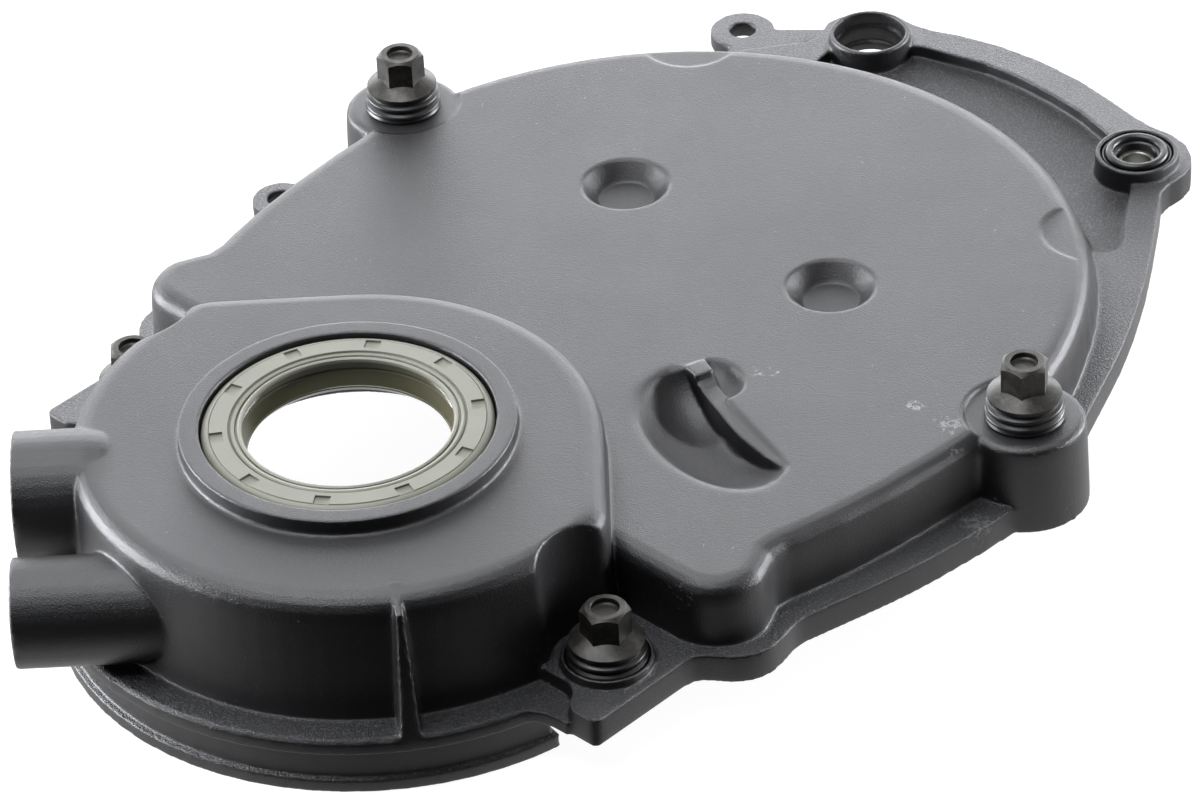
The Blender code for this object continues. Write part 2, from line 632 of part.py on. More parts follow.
def seal_hub(form):
    """The tube inside the housing that the crank seal is pressed into, down to its shoulder."""
    bottom = RING_TOP - HUB_DEPTH
    add(form, disc("hub", (0.0, 0.0), [(HUB_RADIUS, bottom), (HUB_RADIUS, HOUSING_TOP - MM)], 48))
    steps = [(HUB_BORE, bottom - MM), (HUB_BORE, RING_TOP - SEAL_DEPTH - GAP)]
    steps += [(SEAL_RADIUS, RING_TOP - SEAL_DEPTH - GAP), (SEAL_RADIUS, RING_TOP + MM)]
    cut(form, disc("seal_bore", (0.0, 0.0), steps, 56))


def face_marks(form):
    """Two round dimples and two shallow scallops, with the wall kept whole behind the dimples."""
    for side in (RIGHT, LEFT):
        place = mirrored_place(DIMPLE, side)
        floor = DOME_TOP - DIMPLE_DEPTH
        backing = [(DIMPLE_FLOOR + WALL, floor - WALL), (DIMPLE_RADIUS + WALL, DOME_TOP - WALL + 0.5 * MM)]
        add(form, disc("dimple_backing", place, backing, 24))
        bowl = [(DIMPLE_FLOOR, floor), (DIMPLE_RADIUS, DOME_TOP), (DIMPLE_RADIUS, RING_TOP)]
        cut(form, disc("dimple", place, bowl, 28))
        scallop = [(RIM_SCALLOP_RADIUS, DOME_TOP - RIM_SCALLOP_DEPTH), (RIM_SCALLOP_RADIUS, RING_TOP)]
        cut(form, disc("scallop", mirrored_place(RIM_SCALLOP, side), scallop, 28))


def gate_bowl(name, wall, top):
    """The gate's bowl, deepest along a short line near the runner; a wall makes its backing."""
    start, end = (Vector(point) for point in GATE_DEEPEST)
    line = end - start
    outline = shifted([*GATE_BOWL], wall)
    rings = []
    for share, fall in ((0.0, 0.0), (0.12, 0.1), (0.28, 0.36), (0.46, 0.68), (0.66, 0.93), (0.86, 1.0)):
        ring = []
        for x, y in outline:
            along = max(0.0, min(1.0, (Vector((x, y)) - start).dot(line) / line.length_squared))
            target = start + line * along
            point = Vector((x, y)).lerp(target, share)
            ring.append((point.x, point.y, DOME_TOP - wall * (0.8 + 0.3 * fall) - GATE_DEPTH * fall))
        rings.append(ring)
    if top > DOME_TOP:
        rings.insert(0, [(x, y, top) for x, y in outline])
    return loft(name, rings[::-1])


def gate_runner():
    """The runner left across the bowl: level at its broken end, then falling away to a point."""
    floor = DOME_TOP - GATE_DEPTH - 0.5 * WALL
    rings = []
    for i, (x, y, below, half) in enumerate(RUNNER):
        ahead = Vector(RUNNER[min(i + 1, len(RUNNER) - 1)][:2])
        behind = Vector(RUNNER[max(i - 1, 0)][:2])
        way = (ahead - behind).normalized()
        aside = Vector((-way.y, way.x))
        top = DOME_TOP - below
        section = [(-1.8 * half, floor), (1.8 * half, floor), (half, top), (-half, top)]
        rings.append([(x + aside.x * s, y + aside.y * s, z) for s, z in section])
    return loft("gate_runner", rings)


def moulding_gate(form):
    """The sunk bowl where the plastic was fed in, with the end of the runner across it."""
    add(form, gate_bowl("gate_backing", WALL, DOME_TOP - 0.8 * WALL))
    cut(form, gate_bowl("gate_bowl", 0.0, RING_TOP))
    add(form, gate_runner())


def gasket_path():
    """Middle line of the rear gasket, from one oil pan corner over the top to the other."""
    low = [(73.6 * MM, -8.0 * MM), (68.9 * MM, -2.0 * MM), (68.4 * MM, 8.5 * MM), (73.0 * MM, 15.4 * MM)]
    low += [(84.0 * MM, 17.6 * MM), (93.4 * MM, 23.6 * MM), (95.6 * MM, 31.5 * MM), (95.2 * MM, 42.0 * MM)]
    side = [(97.6 * MM, 57.5 * MM), (98.8 * MM, 75.0 * MM), (95.0 * MM, 92.0 * MM), (84.4 * MM, 106.0 * MM)]
    side += [(83.6 * MM, 122.0 * MM), (90.4 * MM, 134.0 * MM), (90.0 * MM, 146.0 * MM)]
    outward = 0.4 * MM
    arch = [
        ((DOME_HALF_WIDTH + outward) * math.cos(a), DOME_ARCH_CENTRE + (DOME_ARCH_RISE + outward) * math.sin(a))
        for a in (math.radians(d) for d in (38, 50, 62, 75, 90))
    ]
    right = curve_through([*low, *side, *arch], 2)
    return [*right, *[(-x, y) for x, y in reversed(right[:-1])]]


def swept_strip(name, path, width, bottom, top, material=None, ease=0.0):
    """A flat strip that follows an open plan path; its rear edges may be eased."""
    rings = []
    for i, point in enumerate(path):
        ahead = Vector(path[min(i + 1, len(path) - 1)])
        behind = Vector(path[max(i - 1, 0)])
        way = (ahead - behind).normalized()
        aside = Vector((-way.y, way.x))
        section = [(width / 2, top), (-width / 2, top), (-width / 2, bottom + ease), (ease - width / 2, bottom)]
        section += [(width / 2 - ease, bottom), (width / 2, bottom + ease)]
        if not ease:
            section = section[:3] + section[5:]
        rings.append([(point[0] + aside.x * s, point[1] + aside.y * s, z) for s, z in section])
    return loft(name, rings, material)


def cover_body(material):
    form = outer_form()
    low_clearances(form)
    sensor_stubs(form)
    add(form, rib())
    hollow(form)
    seal_hub(form)
    face_marks(form)
    moulding_gate(form)
    stub_bores(form)
    bolt_seats(form)
    for tab in (TOP_TAB, SIDE_TAB):
        cut(form, disc("tab_hole", tab, [(TAB_HOLE, -MM), (TAB_HOLE, TAB_TOP + MM)], 24))
    cut(form, swept_strip("gasket_groove", gasket_path(), GASKET_WIDTH + 2 * GAP, -MM, GROOVE_DEPTH))
    form.name = "cover_body"
    form.data.name = "cover_body"
    form.data.materials.clear()
    form.data.materials.append(material)
    shade(form)
    return form


# Pieces that the cover carries


def crank_seal(material):
    """Rubber body of the crank seal, open at the back around its steel case and spring."""
    outer = SEAL_RADIUS - GAP
    face = RING_TOP - 0.4 * MM
    back = RING_TOP - SEAL_DEPTH
    profile = [
        (outer, back),
        (outer, face - 1.2 * MM),
        (outer - 1.2 * MM, face),
        (SEAL_FACE_INNER, face),
        (SEAL_FACE_INNER - 0.4 * MM, face - 0.5 * MM),
        (SEAL_LIP_RADIUS + 1.2 * MM, face + 0.1 * MM),
        (SEAL_LIP_RADIUS, face - 0.6 * MM),
        (SEAL_LIP_RADIUS + 1.3 * MM, face - 4.2 * MM),
        (SEAL_LIP_RADIUS - 0.3 * MM, back + 3.2 * MM),
        (SEAL_LIP_RADIUS + 1.0 * MM, back + 1.6 * MM),
        (SEAL_LIP_RADIUS + 2.6 * MM, back + 1.6 * MM),
        (SEAL_LIP_RADIUS + 2.1 * MM, back + 3.3 * MM),
        (SEAL_LIP_RADIUS + 3.4 * MM, face - 3.4 * MM),
        (outer - 2.0 * MM, face - 3.4 * MM),
        (outer - 2.0 * MM, back),
    ]
    seal = turned("crank_seal", profile, 48, material)
    shade(seal)
    return seal


def seal_case(material):
    """The seal's pressed steel case: an L-shaped ring inside the rubber."""
    outer = SEAL_RADIUS - 2.0 * MM - 2 * GAP
    top = RING_TOP - 0.4 * MM - 3.4 * MM - GAP
    back = RING_TOP - SEAL_DEPTH
    sheet = 1.2 * MM
    inner = SEAL_LIP_RADIUS + 3.9 * MM
    flat = [(outer, top), (inner, top), (inner, top - sheet)]
    profile = [(outer, back), *flat, (outer - sheet, top - sheet), (outer - sheet, back)]
    case = turned("seal_case", profile, 40, material)
    shade(case)
    return case


def garter_spring(material):
    """The coil spring that holds the lip on the shaft, as a plain ring of its outer size."""
    middle = SEAL_LIP_RADIUS + 2.1 * MM + 0.95 * MM
    height = RING_TOP - 0.4 * MM - 7.9 * MM
    radius = 0.6 * MM
    angles = [math.tau * i / 6 for i in range(6)]
    profile = [(middle + radius * math.cos(a), height + radius * math.sin(a)) for a in angles]
    spring = turned("garter_spring", profile, 40, material)
    shade(spring)
    return spring


def perimeter_gasket(material):
    """The moulded gasket in the rear groove, standing just clear of its floor and walls."""
    path = gasket_path()
    first = Vector(path[1]) - Vector(path[0])
    path[0] = tuple(Vector(path[0]) + first.normalized() * GAP)
    last = Vector(path[-2]) - Vector(path[-1])
    path[-1] = tuple(Vector(path[-1]) + last.normalized() * GAP)
    gasket = swept_strip("perimeter_gasket", path, GASKET_WIDTH, 0.0, GROOVE_DEPTH - GAP, material, 0.5 * MM)
    shade(gasket)
    return gasket


def hexagon(flats, z, turn):
    corner = flats / math.sqrt(3)
    return [
        (corner * math.cos(a), corner * math.sin(a), z)
        for a in (math.radians(turn + 60 * i) for i in range(6))
    ]


def bolt(name, place, boss_top, turn, material):
    """A flanged hex bolt with a dished head; its thread is left plain."""
    seat = boss_top + STACK_HEIGHT
    rim = seat + HEAD_FLANGE_EDGE
    cone_top = rim + HEAD_FLANGE_CONE
    head_top = rim + HEAD_HEIGHT
    corner = HEX_FLATS / math.sqrt(3)
    skirt = [
        (BOLT_RADIUS - 0.6 * MM, -BOLT_REACH),
        (BOLT_RADIUS, 0.8 * MM - BOLT_REACH),
        (BOLT_RADIUS, seat),
        (HEAD_FLANGE_RADIUS - 0.3 * MM, seat),
        (HEAD_FLANGE_RADIUS, seat + 0.3 * MM),
        (HEAD_FLANGE_RADIUS, rim),
        (corner, cone_top),
        (corner - 2 * MM, cone_top + 0.4 * MM),
    ]
    item = disc(name, (0.0, 0.0), skirt, 24)
    hexagonal = loft("hexagon", [hexagon(HEX_FLATS, rim + 0.4 * MM, turn), hexagon(HEX_FLATS, head_top, turn)])
    chamfer = [
        (corner + MM, rim),
        (corner + MM, head_top - HEAD_CHAMFER - 0.6 * MM),
        (HEX_FLATS / 2 - 0.5 * MM, head_top),
    ]
    combine(hexagonal, disc("chamfer", (0.0, 0.0), chamfer, 24), "INTERSECT")
    add(item, hexagonal)
    dish = [(HEAD_RECESS - 0.4 * MM, head_top - 1.4 * MM), (HEAD_RECESS, head_top), (HEAD_RECESS, head_top + MM)]
    cut(item, disc("dish", (0.0, 0.0), dish, 16))
    item.data.transform(Matrix.Translation((place[0], place[1], 0.0)))
    item.data.materials.clear()
    item.data.materials.append(material)
    shade(item, 25)
    return item


def isolator(name, place, boss_top, material):
    """Rubber isolator: a neck in the cover's hole under a ringed collar."""
    inner = SLEEVE_BORE + SLEEVE_WALL + GAP
    top = boss_top + STACK_HEIGHT - GAP
    low = boss_top + GAP
    ring = 0.8 * MM
    profile = [
        (inner, neck_bottom(boss_top)),
        (ISOLATOR_NECK, neck_bottom(boss_top)),
        (ISOLATOR_NECK, low),
        (ISOLATOR_COLLAR, low),
        (ISOLATOR_COLLAR, low + 2.2 * MM),
        (ISOLATOR_COLLAR - ring, low + 2.8 * MM),
        (ISOLATOR_COLLAR - ring, low + 3.4 * MM),
        (ISOLATOR_COLLAR - 0.3 * ring, low + 4.0 * MM),
        (ISOLATOR_COLLAR - 1.4 * ring, top),
        (inner, top),
    ]
    item = turned(name, profile, 20, material)
    item.data.transform(Matrix.Translation((place[0], place[1], 0.0)))
    shade(item)
    return item


def top_isolator(material):
    """The isolator in the upper right cup, which has no bolt: a flat collar around a round rubber bead."""
    inner = SLEEVE_BORE + SLEEVE_WALL + GAP
    collar = TOP_CUP_RADIUS - TOP_CUP_WALL - GAP
    ledge = CUP_TOP - 0.7 * MM
    bead_middle = 6.6 * MM
    bead_radius = 1.1 * MM
    crest = CUP_TOP + TOP_ISOLATOR_CREST
    bead = [
        (bead_middle + bead_radius * math.cos(a), crest - bead_radius * (1 - math.sin(a)))
        for a in (math.radians(30 * i) for i in range(7))
    ]
    profile = [
        (inner, SEAT_FLOOR),
        (ISOLATOR_NECK, SEAT_FLOOR),
        (ISOLATOR_NECK, TOP_SEAT + GAP),
        (collar, TOP_SEAT + GAP),
        (collar, ledge),
        (collar - 0.5 * MM, ledge),
        (collar - 0.8 * MM, ledge - 0.5 * MM),
        *bead,
        (bead_middle - bead_radius, ledge - 0.5 * MM),
        (inner, ledge - 0.8 * MM),
    ]
    item = turned("isolator_top_right", profile, 32, material)
    item.data.transform(Matrix.Translation((TOP_CUP[0], TOP_CUP[1], 0.0)))
    shade(item)
    return item


def sleeve(name, place, top, material):
    """Steel sleeve that stops the bolt from crushing the isolator."""
    outer = SLEEVE_BORE + SLEEVE_WALL
    profile = [(SLEEVE_BORE, 0.0), (outer, 0.0), (outer, top), (SLEEVE_BORE, top)]
    item = turned(name, profile, 16, material)
    item.data.transform(Matrix.Translation((place[0], place[1], 0.0)))
    shade(item)
    return item


def threaded_insert(material):
    """Brass insert in the end of the screw stub, its thread left plain."""
    outside = SCREW_STUB[3] - INSERT_RECESS
    inside = outside - INSERT_LENGTH
    profile = [(INSERT_BORE, inside), (INSERT_RADIUS, inside), (INSERT_RADIUS, outside), (INSERT_BORE, outside)]
    item = turned("threaded_insert", profile, 24, material)
    item.data.transform(stub_matrix(SCREW_STUB[0], SCREW_STUB[1]))
    shade(item)
    return item


def main():
    clear_scene()
    plastic = finish_material("moulded_nylon", (0.035, 0.036, 0.038), 0.5)
    rubber = finish_material("black_rubber", (0.02, 0.02, 0.02), 0.6)
    seal_rubber = finish_material("seal_rubber", (0.34, 0.34, 0.28), 0.55)
    gasket_rubber = finish_material("gasket_silicone", (0.05, 0.05, 0.05), 0.5)
    dark_steel = finish_material("phosphated_steel", (0.1, 0.1, 0.095), 0.45, 0.8)
    bright_steel = finish_material("zinc_steel", (0.5, 0.5, 0.48), 0.35, 1.0)
    brass = finish_material("brass", (0.6, 0.42, 0.16), 0.35, 1.0)

    cover_body(plastic)
    crank_seal(seal_rubber)
    seal_case(bright_steel)
    garter_spring(bright_steel)
    perimeter_gasket(gasket_rubber)
    threaded_insert(brass)
    stations = (
        ("lower_right", mirrored_place(LOW_BOLT, RIGHT), FLANGE_TOP, 44),
        ("lower_left", mirrored_place(LOW_BOLT, LEFT), FLANGE_TOP, 16),
        ("side_right", mirrored_place(SIDE_BOLT, RIGHT), TALL_BOSS_TOP, 4),
        ("side_left", mirrored_place(SIDE_BOLT, LEFT), TALL_BOSS_TOP, 45),
    )
    for name, place, boss_top, turn in stations:
        bolt("bolt_" + name, place, boss_top, turn, dark_steel)
        isolator("isolator_" + name, place, boss_top, rubber)
        sleeve("sleeve_" + name, place, boss_top + STACK_HEIGHT - GAP, bright_steel)
    top_isolator(rubber)
    sleeve("sleeve_top_right", TOP_CUP, CUP_TOP - 2.8 * MM, bright_steel)

    for item in bpy.context.scene.objects:
        item.data.transform(Matrix.Translation((0.0, -ORIGIN_UP, 0.0)))


main()
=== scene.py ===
"""Looks of the timing cover: its finished surfaces, materials, light and camera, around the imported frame.

Lengths are in metres, written as millimetres times MM. The origin is on the mounting face, +Z points
out of the engine and +Y up the cover. CRANK is the crank axis, which the seal and its housing stand on.
"""

import math

import bpy
from mathutils import Matrix, Vector


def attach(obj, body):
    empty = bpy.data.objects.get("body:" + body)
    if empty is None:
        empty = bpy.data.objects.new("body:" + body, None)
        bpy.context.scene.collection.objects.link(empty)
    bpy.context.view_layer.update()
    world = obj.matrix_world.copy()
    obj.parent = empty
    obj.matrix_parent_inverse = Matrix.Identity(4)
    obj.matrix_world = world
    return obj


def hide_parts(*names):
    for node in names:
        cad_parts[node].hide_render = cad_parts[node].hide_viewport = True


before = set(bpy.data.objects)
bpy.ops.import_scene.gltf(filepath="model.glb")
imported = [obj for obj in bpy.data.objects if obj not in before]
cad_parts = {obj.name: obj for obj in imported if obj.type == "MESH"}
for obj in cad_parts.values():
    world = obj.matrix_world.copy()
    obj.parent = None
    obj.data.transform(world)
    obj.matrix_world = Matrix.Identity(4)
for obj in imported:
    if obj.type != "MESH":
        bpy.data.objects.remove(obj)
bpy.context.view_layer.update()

MM = 0.001
CRANK = (0.0, -226.0 * MM)

# Heights above the mounting face
FLANGE_TOP = 7.2 * MM
CUP_TOP = 10.2 * MM
TALL_BOSS_TOP = 22.4 * MM
DOME_TOP = 23.5 * MM
SEAL_FACE = 38.3 * MM
SEAL_BACK = 27.7 * MM
GATE_FLOOR = DOME_TOP - 8.5 * MM  # under the feeding gate's bowl

# Bolts and what they pass through
STACK_HEIGHT = 5.8 * MM  # from the boss to the underside of the bolt's flange
HEAD_HEIGHT = 9.3 * MM  # with its flange
HEX_FLATS = 10.0 * MM
SHANK_RADIUS = 2.9 * MM
BOLT_REACH = 7.0 * MM
THREAD_PITCH = 1.0 * MM
SLEEVE_BORE = 3.4 * MM
SLEEVE_OUTSIDE = 4.6 * MM
GAP = 0.3 * MM


def at_crank(x, y):
    """A place given in millimetres from the crank axis."""
    return (x * MM, CRANK[1] + y * MM)


STATIONS = {  # place, boss height and the way that one corner of the bolt's hexagon points
    "lower_right": (at_crank(76.0, 2.7), FLANGE_TOP, 44.0),
    "lower_left": (at_crank(-76.0, 2.7), FLANGE_TOP, 16.0),
    "side_right": (at_crank(99.8, 115.5), TALL_BOSS_TOP, 4.0),
    "side_left": (at_crank(-99.8, 115.5), TALL_BOSS_TOP, 45.0),
}
TOP_CUP = at_crank(38.8, 228.8)


# Mesh tools


def deselect():
    if bpy.context.object and bpy.context.object.mode != "OBJECT":
        bpy.ops.object.mode_set(mode="OBJECT")
    bpy.ops.object.select_all(action="DESELECT")


def pick(item):
    deselect()
    item.select_set(True)
    bpy.context.view_layer.objects.active = item
    return item


def apply(item, kind, **settings):
    """Adds one modifier and applies it."""
    pick(item)
    modifier = item.modifiers.new(kind.lower(), kind)
    for key, value in settings.items():
        setattr(modifier, key, value)
    bpy.ops.object.modifier_apply(modifier=modifier.name)
    return item


def place_in_mesh(item):
    pick(item)
    bpy.ops.object.transform_apply(location=True, rotation=True, scale=True)
    return item


def smooth(item, degrees):
    pick(item)
    bpy.ops.object.shade_smooth_by_angle(angle=math.radians(degrees))
    return item


def triangle_count(item):
    return sum(len(polygon.vertices) - 2 for polygon in item.data.polygons)


def combine(item, tool, operation):
    """Adds the tool to the piece, cuts it away or keeps what they share, and removes the tool."""
    apply(item, "BOOLEAN", object=tool, operation=operation, solver="MANIFOLD")
    bpy.data.objects.remove(tool, do_unlink=True)
    return item


def soften(item, voxel, rounds, triangles, also_smooth):
    """Melts the piece's solids into one skin with rounded edges, then thins it to a number of triangles.

    Walls, and the points that also_smooth picks, are smoothed longer, which takes flats out of their curves.
    """
    steepness = 0.35  # a wall's normal rises less than this
    apply(item, "REMESH", mode="VOXEL", voxel_size=voxel, use_smooth_shade=True)
    group = item.vertex_groups.new(name="smoother")
    chosen = [v.index for v in item.data.vertices if abs(v.normal.z) < steepness or also_smooth(v)]
    group.add(chosen, 1.0, "REPLACE")
    apply(item, "SMOOTH", factor=0.5, iterations=8 * rounds, vertex_group="smoother")
    apply(item, "SMOOTH", factor=0.5, iterations=rounds)
    apply(item, "DECIMATE", ratio=min(1.0, triangles / triangle_count(item)))
    pick(item)
    bpy.ops.object.shade_smooth()
    return apply(item, "WEIGHTED_NORMAL", weight=50)


def turned(name, place, profile, segments, closed=True):
    """A piece turned about an upright axis, drawn out ring by ring along its (radius, height) profile.

    A closed profile comes back to its first point, and an open one gets a flat end at each side.
    """
    radius, height = profile[0]
    deselect()
    bpy.ops.mesh.primitive_circle_add(vertices=segments, radius=radius, location=(*place, height))
    item = bpy.context.object
    item.name = name
    bpy.ops.object.mode_set(mode="EDIT")
    for next_radius, next_height in profile[1:]:
        bpy.ops.mesh.extrude_region_move(TRANSFORM_OT_translate={"value": (0.0, 0.0, next_height - height)})
        growth = next_radius / radius
        bpy.ops.transform.resize(value=(growth, growth, 1.0), center_override=(*place, next_height))
        radius, height = next_radius, next_height
    bpy.ops.mesh.select_all(action="DESELECT")
    bpy.ops.mesh.select_non_manifold()
    if closed:
        bpy.ops.mesh.bridge_edge_loops()
    else:
        bpy.ops.mesh.fill_holes(sides=0)
    bpy.ops.mesh.select_all(action="SELECT")
    bpy.ops.mesh.normals_make_consistent(inside=False)
    return place_in_mesh(item)


def bead(middle, height, radius, start, end, count):
    """Points on a round bead's outline, from one angle to another in degrees."""
    angles = [math.radians(start + (end - start) * i / count) for i in range(count + 1)]
    return [(middle + radius * math.cos(a), height + radius * math.sin(a)) for a in angles]


def copy_to(item, name, place, turn):
    """A copy with its own mesh, turned by an angle in degrees and moved from the origin to a place."""
    copy = bpy.data.objects.new(name, item.data.copy())
    bpy.context.scene.collection.objects.link(copy)
    copy.data.transform(Matrix.Translation(place) @ Matrix.Rotation(math.radians(turn), 4, "Z"))
    return copy


def merged_copy(name, node):
    """The CAD node's shape as a new piece, its triangles joined at their corners."""
    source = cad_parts[node]
    item = bpy.data.objects.new(name, source.data.copy())
    bpy.context.scene.collection.objects.link(item)
    item.data.transform(source.matrix_world)
    item.data.materials.clear()
    pick(item)
    bpy.ops.object.mode_set(mode="EDIT")
    bpy.ops.mesh.select_all(action="SELECT")
    bpy.ops.mesh.remove_doubles(threshold=0.002 * MM)
    bpy.ops.object.mode_set(mode="OBJECT")
    return item


def finish(item, node, material):
    """Gives the piece its material and lets it stand for its CAD node."""
    item.data.materials.clear()
    item.data.materials.append(material)
    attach(item, "root")
    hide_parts(node)
    return item


# Colours and nodes


def colour(hex_value):
    """An sRGB hex colour as linear RGBA."""
    channels = [int(hex_value[i : i + 2], 16) / 255 for i in (1, 3, 5)]
    linear = [c / 12.92 if c <= 0.04045 else ((c + 0.055) / 1.055) ** 2.4 for c in channels]
    return (*linear, 1.0)


def add_node(tree, kind, links=None, **settings):
    """Adds a node, sets its properties or inputs by name, and links its inputs from other sockets."""
    node = tree.nodes.new(kind)
    for key, value in settings.items():
        socket = key.replace("_", " ")
        if socket in node.inputs:
            node.inputs[socket].default_value = value
        else:
            setattr(node, key, value)
    for key, source in (links or {}).items():
        tree.links.new(source, node.inputs[key])
    return node


def new_material(name, **settings):
    """A material with a Principled shader set to the given values, its node tree and object coordinates."""
    material = bpy.data.materials.new(name)
    material.use_nodes = True
    tree = material.node_tree
    tree.nodes.clear()
    shader = add_node(tree, "ShaderNodeBsdfPrincipled", **settings)
    add_node(tree, "ShaderNodeOutputMaterial", {"Surface": shader.outputs["BSDF"]})
    place = add_node(tree, "ShaderNodeTexCoord").outputs["Object"]
    return material, tree, shader, place


def grain(tree, place, size, detail=3.0, roughness=0.6):
    """Noise whose spots are about the given size across, from 0 to 1."""
    noise = add_node(
        tree, "ShaderNodeTexNoise", {"Vector": place}, Scale=1.0 / size, Detail=detail, Roughness=roughness
    )
    return noise.outputs["Fac"]


def levels(tree, value, low, high, to_low=0.0, to_high=1.0):
    """The value stretched from one range to another, clamped at both ends."""
    node = add_node(
        tree,
        "ShaderNodeMapRange",
        {"Value": value},
        From_Min=low,
        From_Max=high,
        To_Min=to_low,
        To_Max=to_high,
    )
    return node.outputs["Result"]


def arithmetic(tree, operation, first, second):
    """Two values, or a value and a number, through one arithmetic step."""
    node = add_node(tree, "ShaderNodeMath", operation=operation)
    for socket, value in zip(node.inputs, (first, second)):
        if isinstance(value, float):
            socket.default_value = value
        else:
            tree.links.new(value, socket)
    return node.outputs["Value"]


def blend(tree, factor, first, second):
    """One colour going over to another, each a hex value or a socket."""
    node = add_node(tree, "ShaderNodeMix", {"Factor": factor}, data_type="RGBA")
    for name, value in (("A", first), ("B", second)):
        if isinstance(value, str):
            node.inputs[name].default_value = colour(value)
        else:
            tree.links.new(value, node.inputs[name])
    return node.outputs["Result"]


def rough_surface(tree, shader, layers):
    """Stacks bumps on the shader: each layer is a height, its depth in metres and its strength."""
    normal = None
    for height, depth, strength in layers:
        links = {"Height": height}
        if normal:
            links["Normal"] = normal
        bump = add_node(tree, "ShaderNodeBump", links, Distance=depth, Strength=strength)
        normal = bump.outputs["Normal"]
    tree.links.new(normal, shader.inputs["Normal"])


# Materials


# Glass-filled nylon, injection moulded: black with a satin sheen. It is finely etched all over and coarse
# as well on the flange and the pocket's floor, and handling has scuffed a few places.
def moulded_nylon():
    material, tree, shader, place = new_material("moulded_nylon", IOR=1.55)
    height = add_node(tree, "ShaderNodeSeparateXYZ", {"Vector": place}).outputs["Z"]
    geometry = add_node(tree, "ShaderNodeNewGeometry")
    upward = add_node(tree, "ShaderNodeSeparateXYZ", {"Vector": geometry.outputs["Normal"]}).outputs["Z"]
    low = levels(tree, height, FLANGE_TOP + 0.9 * MM, FLANGE_TOP + 0.3 * MM)
    low_faces = arithmetic(tree, "MULTIPLY", low, levels(tree, upward, 0.6, 0.9))
    etching = grain(tree, place, 0.32 * MM, 2.0)
    grit = grain(tree, place, 0.6 * MM, 4.0, 0.7)
    cloud = grain(tree, place, 30.0 * MM, 5.0)
    tone = blend(tree, cloud, "#0d0d0e", "#141416")
    # Pale specks on the low upward faces: partly dust, partly painted glints of the coarse grain catching
    # the light.
    dust_and_glints = arithmetic(tree, "MULTIPLY", low_faces, levels(tree, grit, 0.5, 0.66))
    tone = blend(tree, dust_and_glints, tone, "#4c4c50")
    worn = worn_places(tree, place)
    tone = blend(tree, worn, tone, "#5e5e60")
    tree.links.new(tone, shader.inputs["Base Color"])
    tree.links.new(levels(tree, cloud, 0.3, 0.7, 0.36, 0.43), shader.inputs["Roughness"])
    coarse = arithmetic(tree, "MULTIPLY", grit, low_faces)
    scratches = arithmetic(tree, "MULTIPLY", worn, grit)
    layers = [(etching, 0.16 * MM, 0.8), (coarse, 0.45 * MM, 1.0), (scratches, 0.2 * MM, 0.7)]
    rough_surface(tree, shader, layers)
    return material


WORN_PLACES = (  # x and y from the crank, height, radius in mm, how much of the surface is rubbed through
    (44.5, 89.0, 23.5, 5.0, 0.26),
    (79.5, 101.2, 23.5, 3.6, 0.42),
    (90.0, 101.0, 23.5, 5.0, 0.42),
    (98.0, 94.8, 23.2, 3.4, 0.46),
    (104.6, 93.0, 7.0, 6.5, 0.42),
    (97.9, 100.6, 7.4, 1.9, 1.0),
    (84.0, 16.0, 22.0, 10.0, 0.22),
)


def worn_places(tree, place):
    """Where handling has rubbed the surface pale: broken spots that thin out from a few centres."""
    spots = grain(tree, place, 1.6 * MM, 6.0, 0.75)
    total = None
    for x, y, height, radius, share in WORN_PLACES:
        gap = add_node(tree, "ShaderNodeVectorMath", {0: place}, operation="DISTANCE")
        gap.inputs[1].default_value = (*at_crank(x, y), height * MM)
        reach = levels(tree, gap.outputs["Value"], radius * MM, 0.3 * radius * MM, 0.0, 0.45 * share)
        total = arithmetic(tree, "MAXIMUM", total, reach) if total else reach
    return levels(tree, arithmetic(tree, "ADD", spots, total), 0.66, 0.72)


# Fluoroelastomer, moulded: olive grey, smooth and slightly waxy
def seal_rubber():
    material, tree, shader, place = new_material("seal_rubber", IOR=1.42)
    cloud = grain(tree, place, 9.0 * MM, 4.0)
    height = add_node(tree, "ShaderNodeSeparateXYZ", {"Vector": place}).outputs["Z"]
    # Below the face the rubber gets a darker olive brown, which is painted shade in the bore and on the
    # outer chamfer; the lips there are also glossier.
    lips_and_shade = levels(tree, height, SEAL_FACE - 0.5 * MM, SEAL_FACE - 1.4 * MM)
    tone = blend(tree, cloud, "#717166", "#818175")
    tree.links.new(blend(tree, lips_and_shade, tone, "#5f5d4a"), shader.inputs["Base Color"])
    tree.links.new(levels(tree, lips_and_shade, 0.0, 1.0, 0.4, 0.16), shader.inputs["Roughness"])
    rough_surface(tree, shader, [(grain(tree, place, 0.3 * MM), 0.02 * MM, 0.3)])
    return material


# Nitrile rubber, moulded: near black, with a dull bloom in patches
def black_rubber():
    material, tree, shader, place = new_material("black_rubber", IOR=1.5)
    cloud = grain(tree, place, 3.0 * MM, 5.0)
    bloom = levels(tree, cloud, 0.45, 0.75)
    tree.links.new(blend(tree, bloom, "#0b0b0c", "#1c1c1d"), shader.inputs["Base Color"])
    tree.links.new(levels(tree, cloud, 0.3, 0.7, 0.3, 0.42), shader.inputs["Roughness"])
    rough_surface(tree, shader, [(grain(tree, place, 0.3 * MM), 0.03 * MM, 0.4)])
    return material


# Acrylate rubber, moulded: dark grey, matt and slightly clouded
def gasket_rubber():
    material, tree, shader, place = new_material("gasket_rubber", IOR=1.48)
    cloud = grain(tree, place, 6.0 * MM, 4.0)
    tree.links.new(blend(tree, cloud, "#232425", "#35363a"), shader.inputs["Base Color"])
    tree.links.new(levels(tree, cloud, 0.3, 0.7, 0.5, 0.65), shader.inputs["Roughness"])
    rough_surface(tree, shader, [(grain(tree, place, 0.25 * MM), 0.02 * MM, 0.4)])
    return material


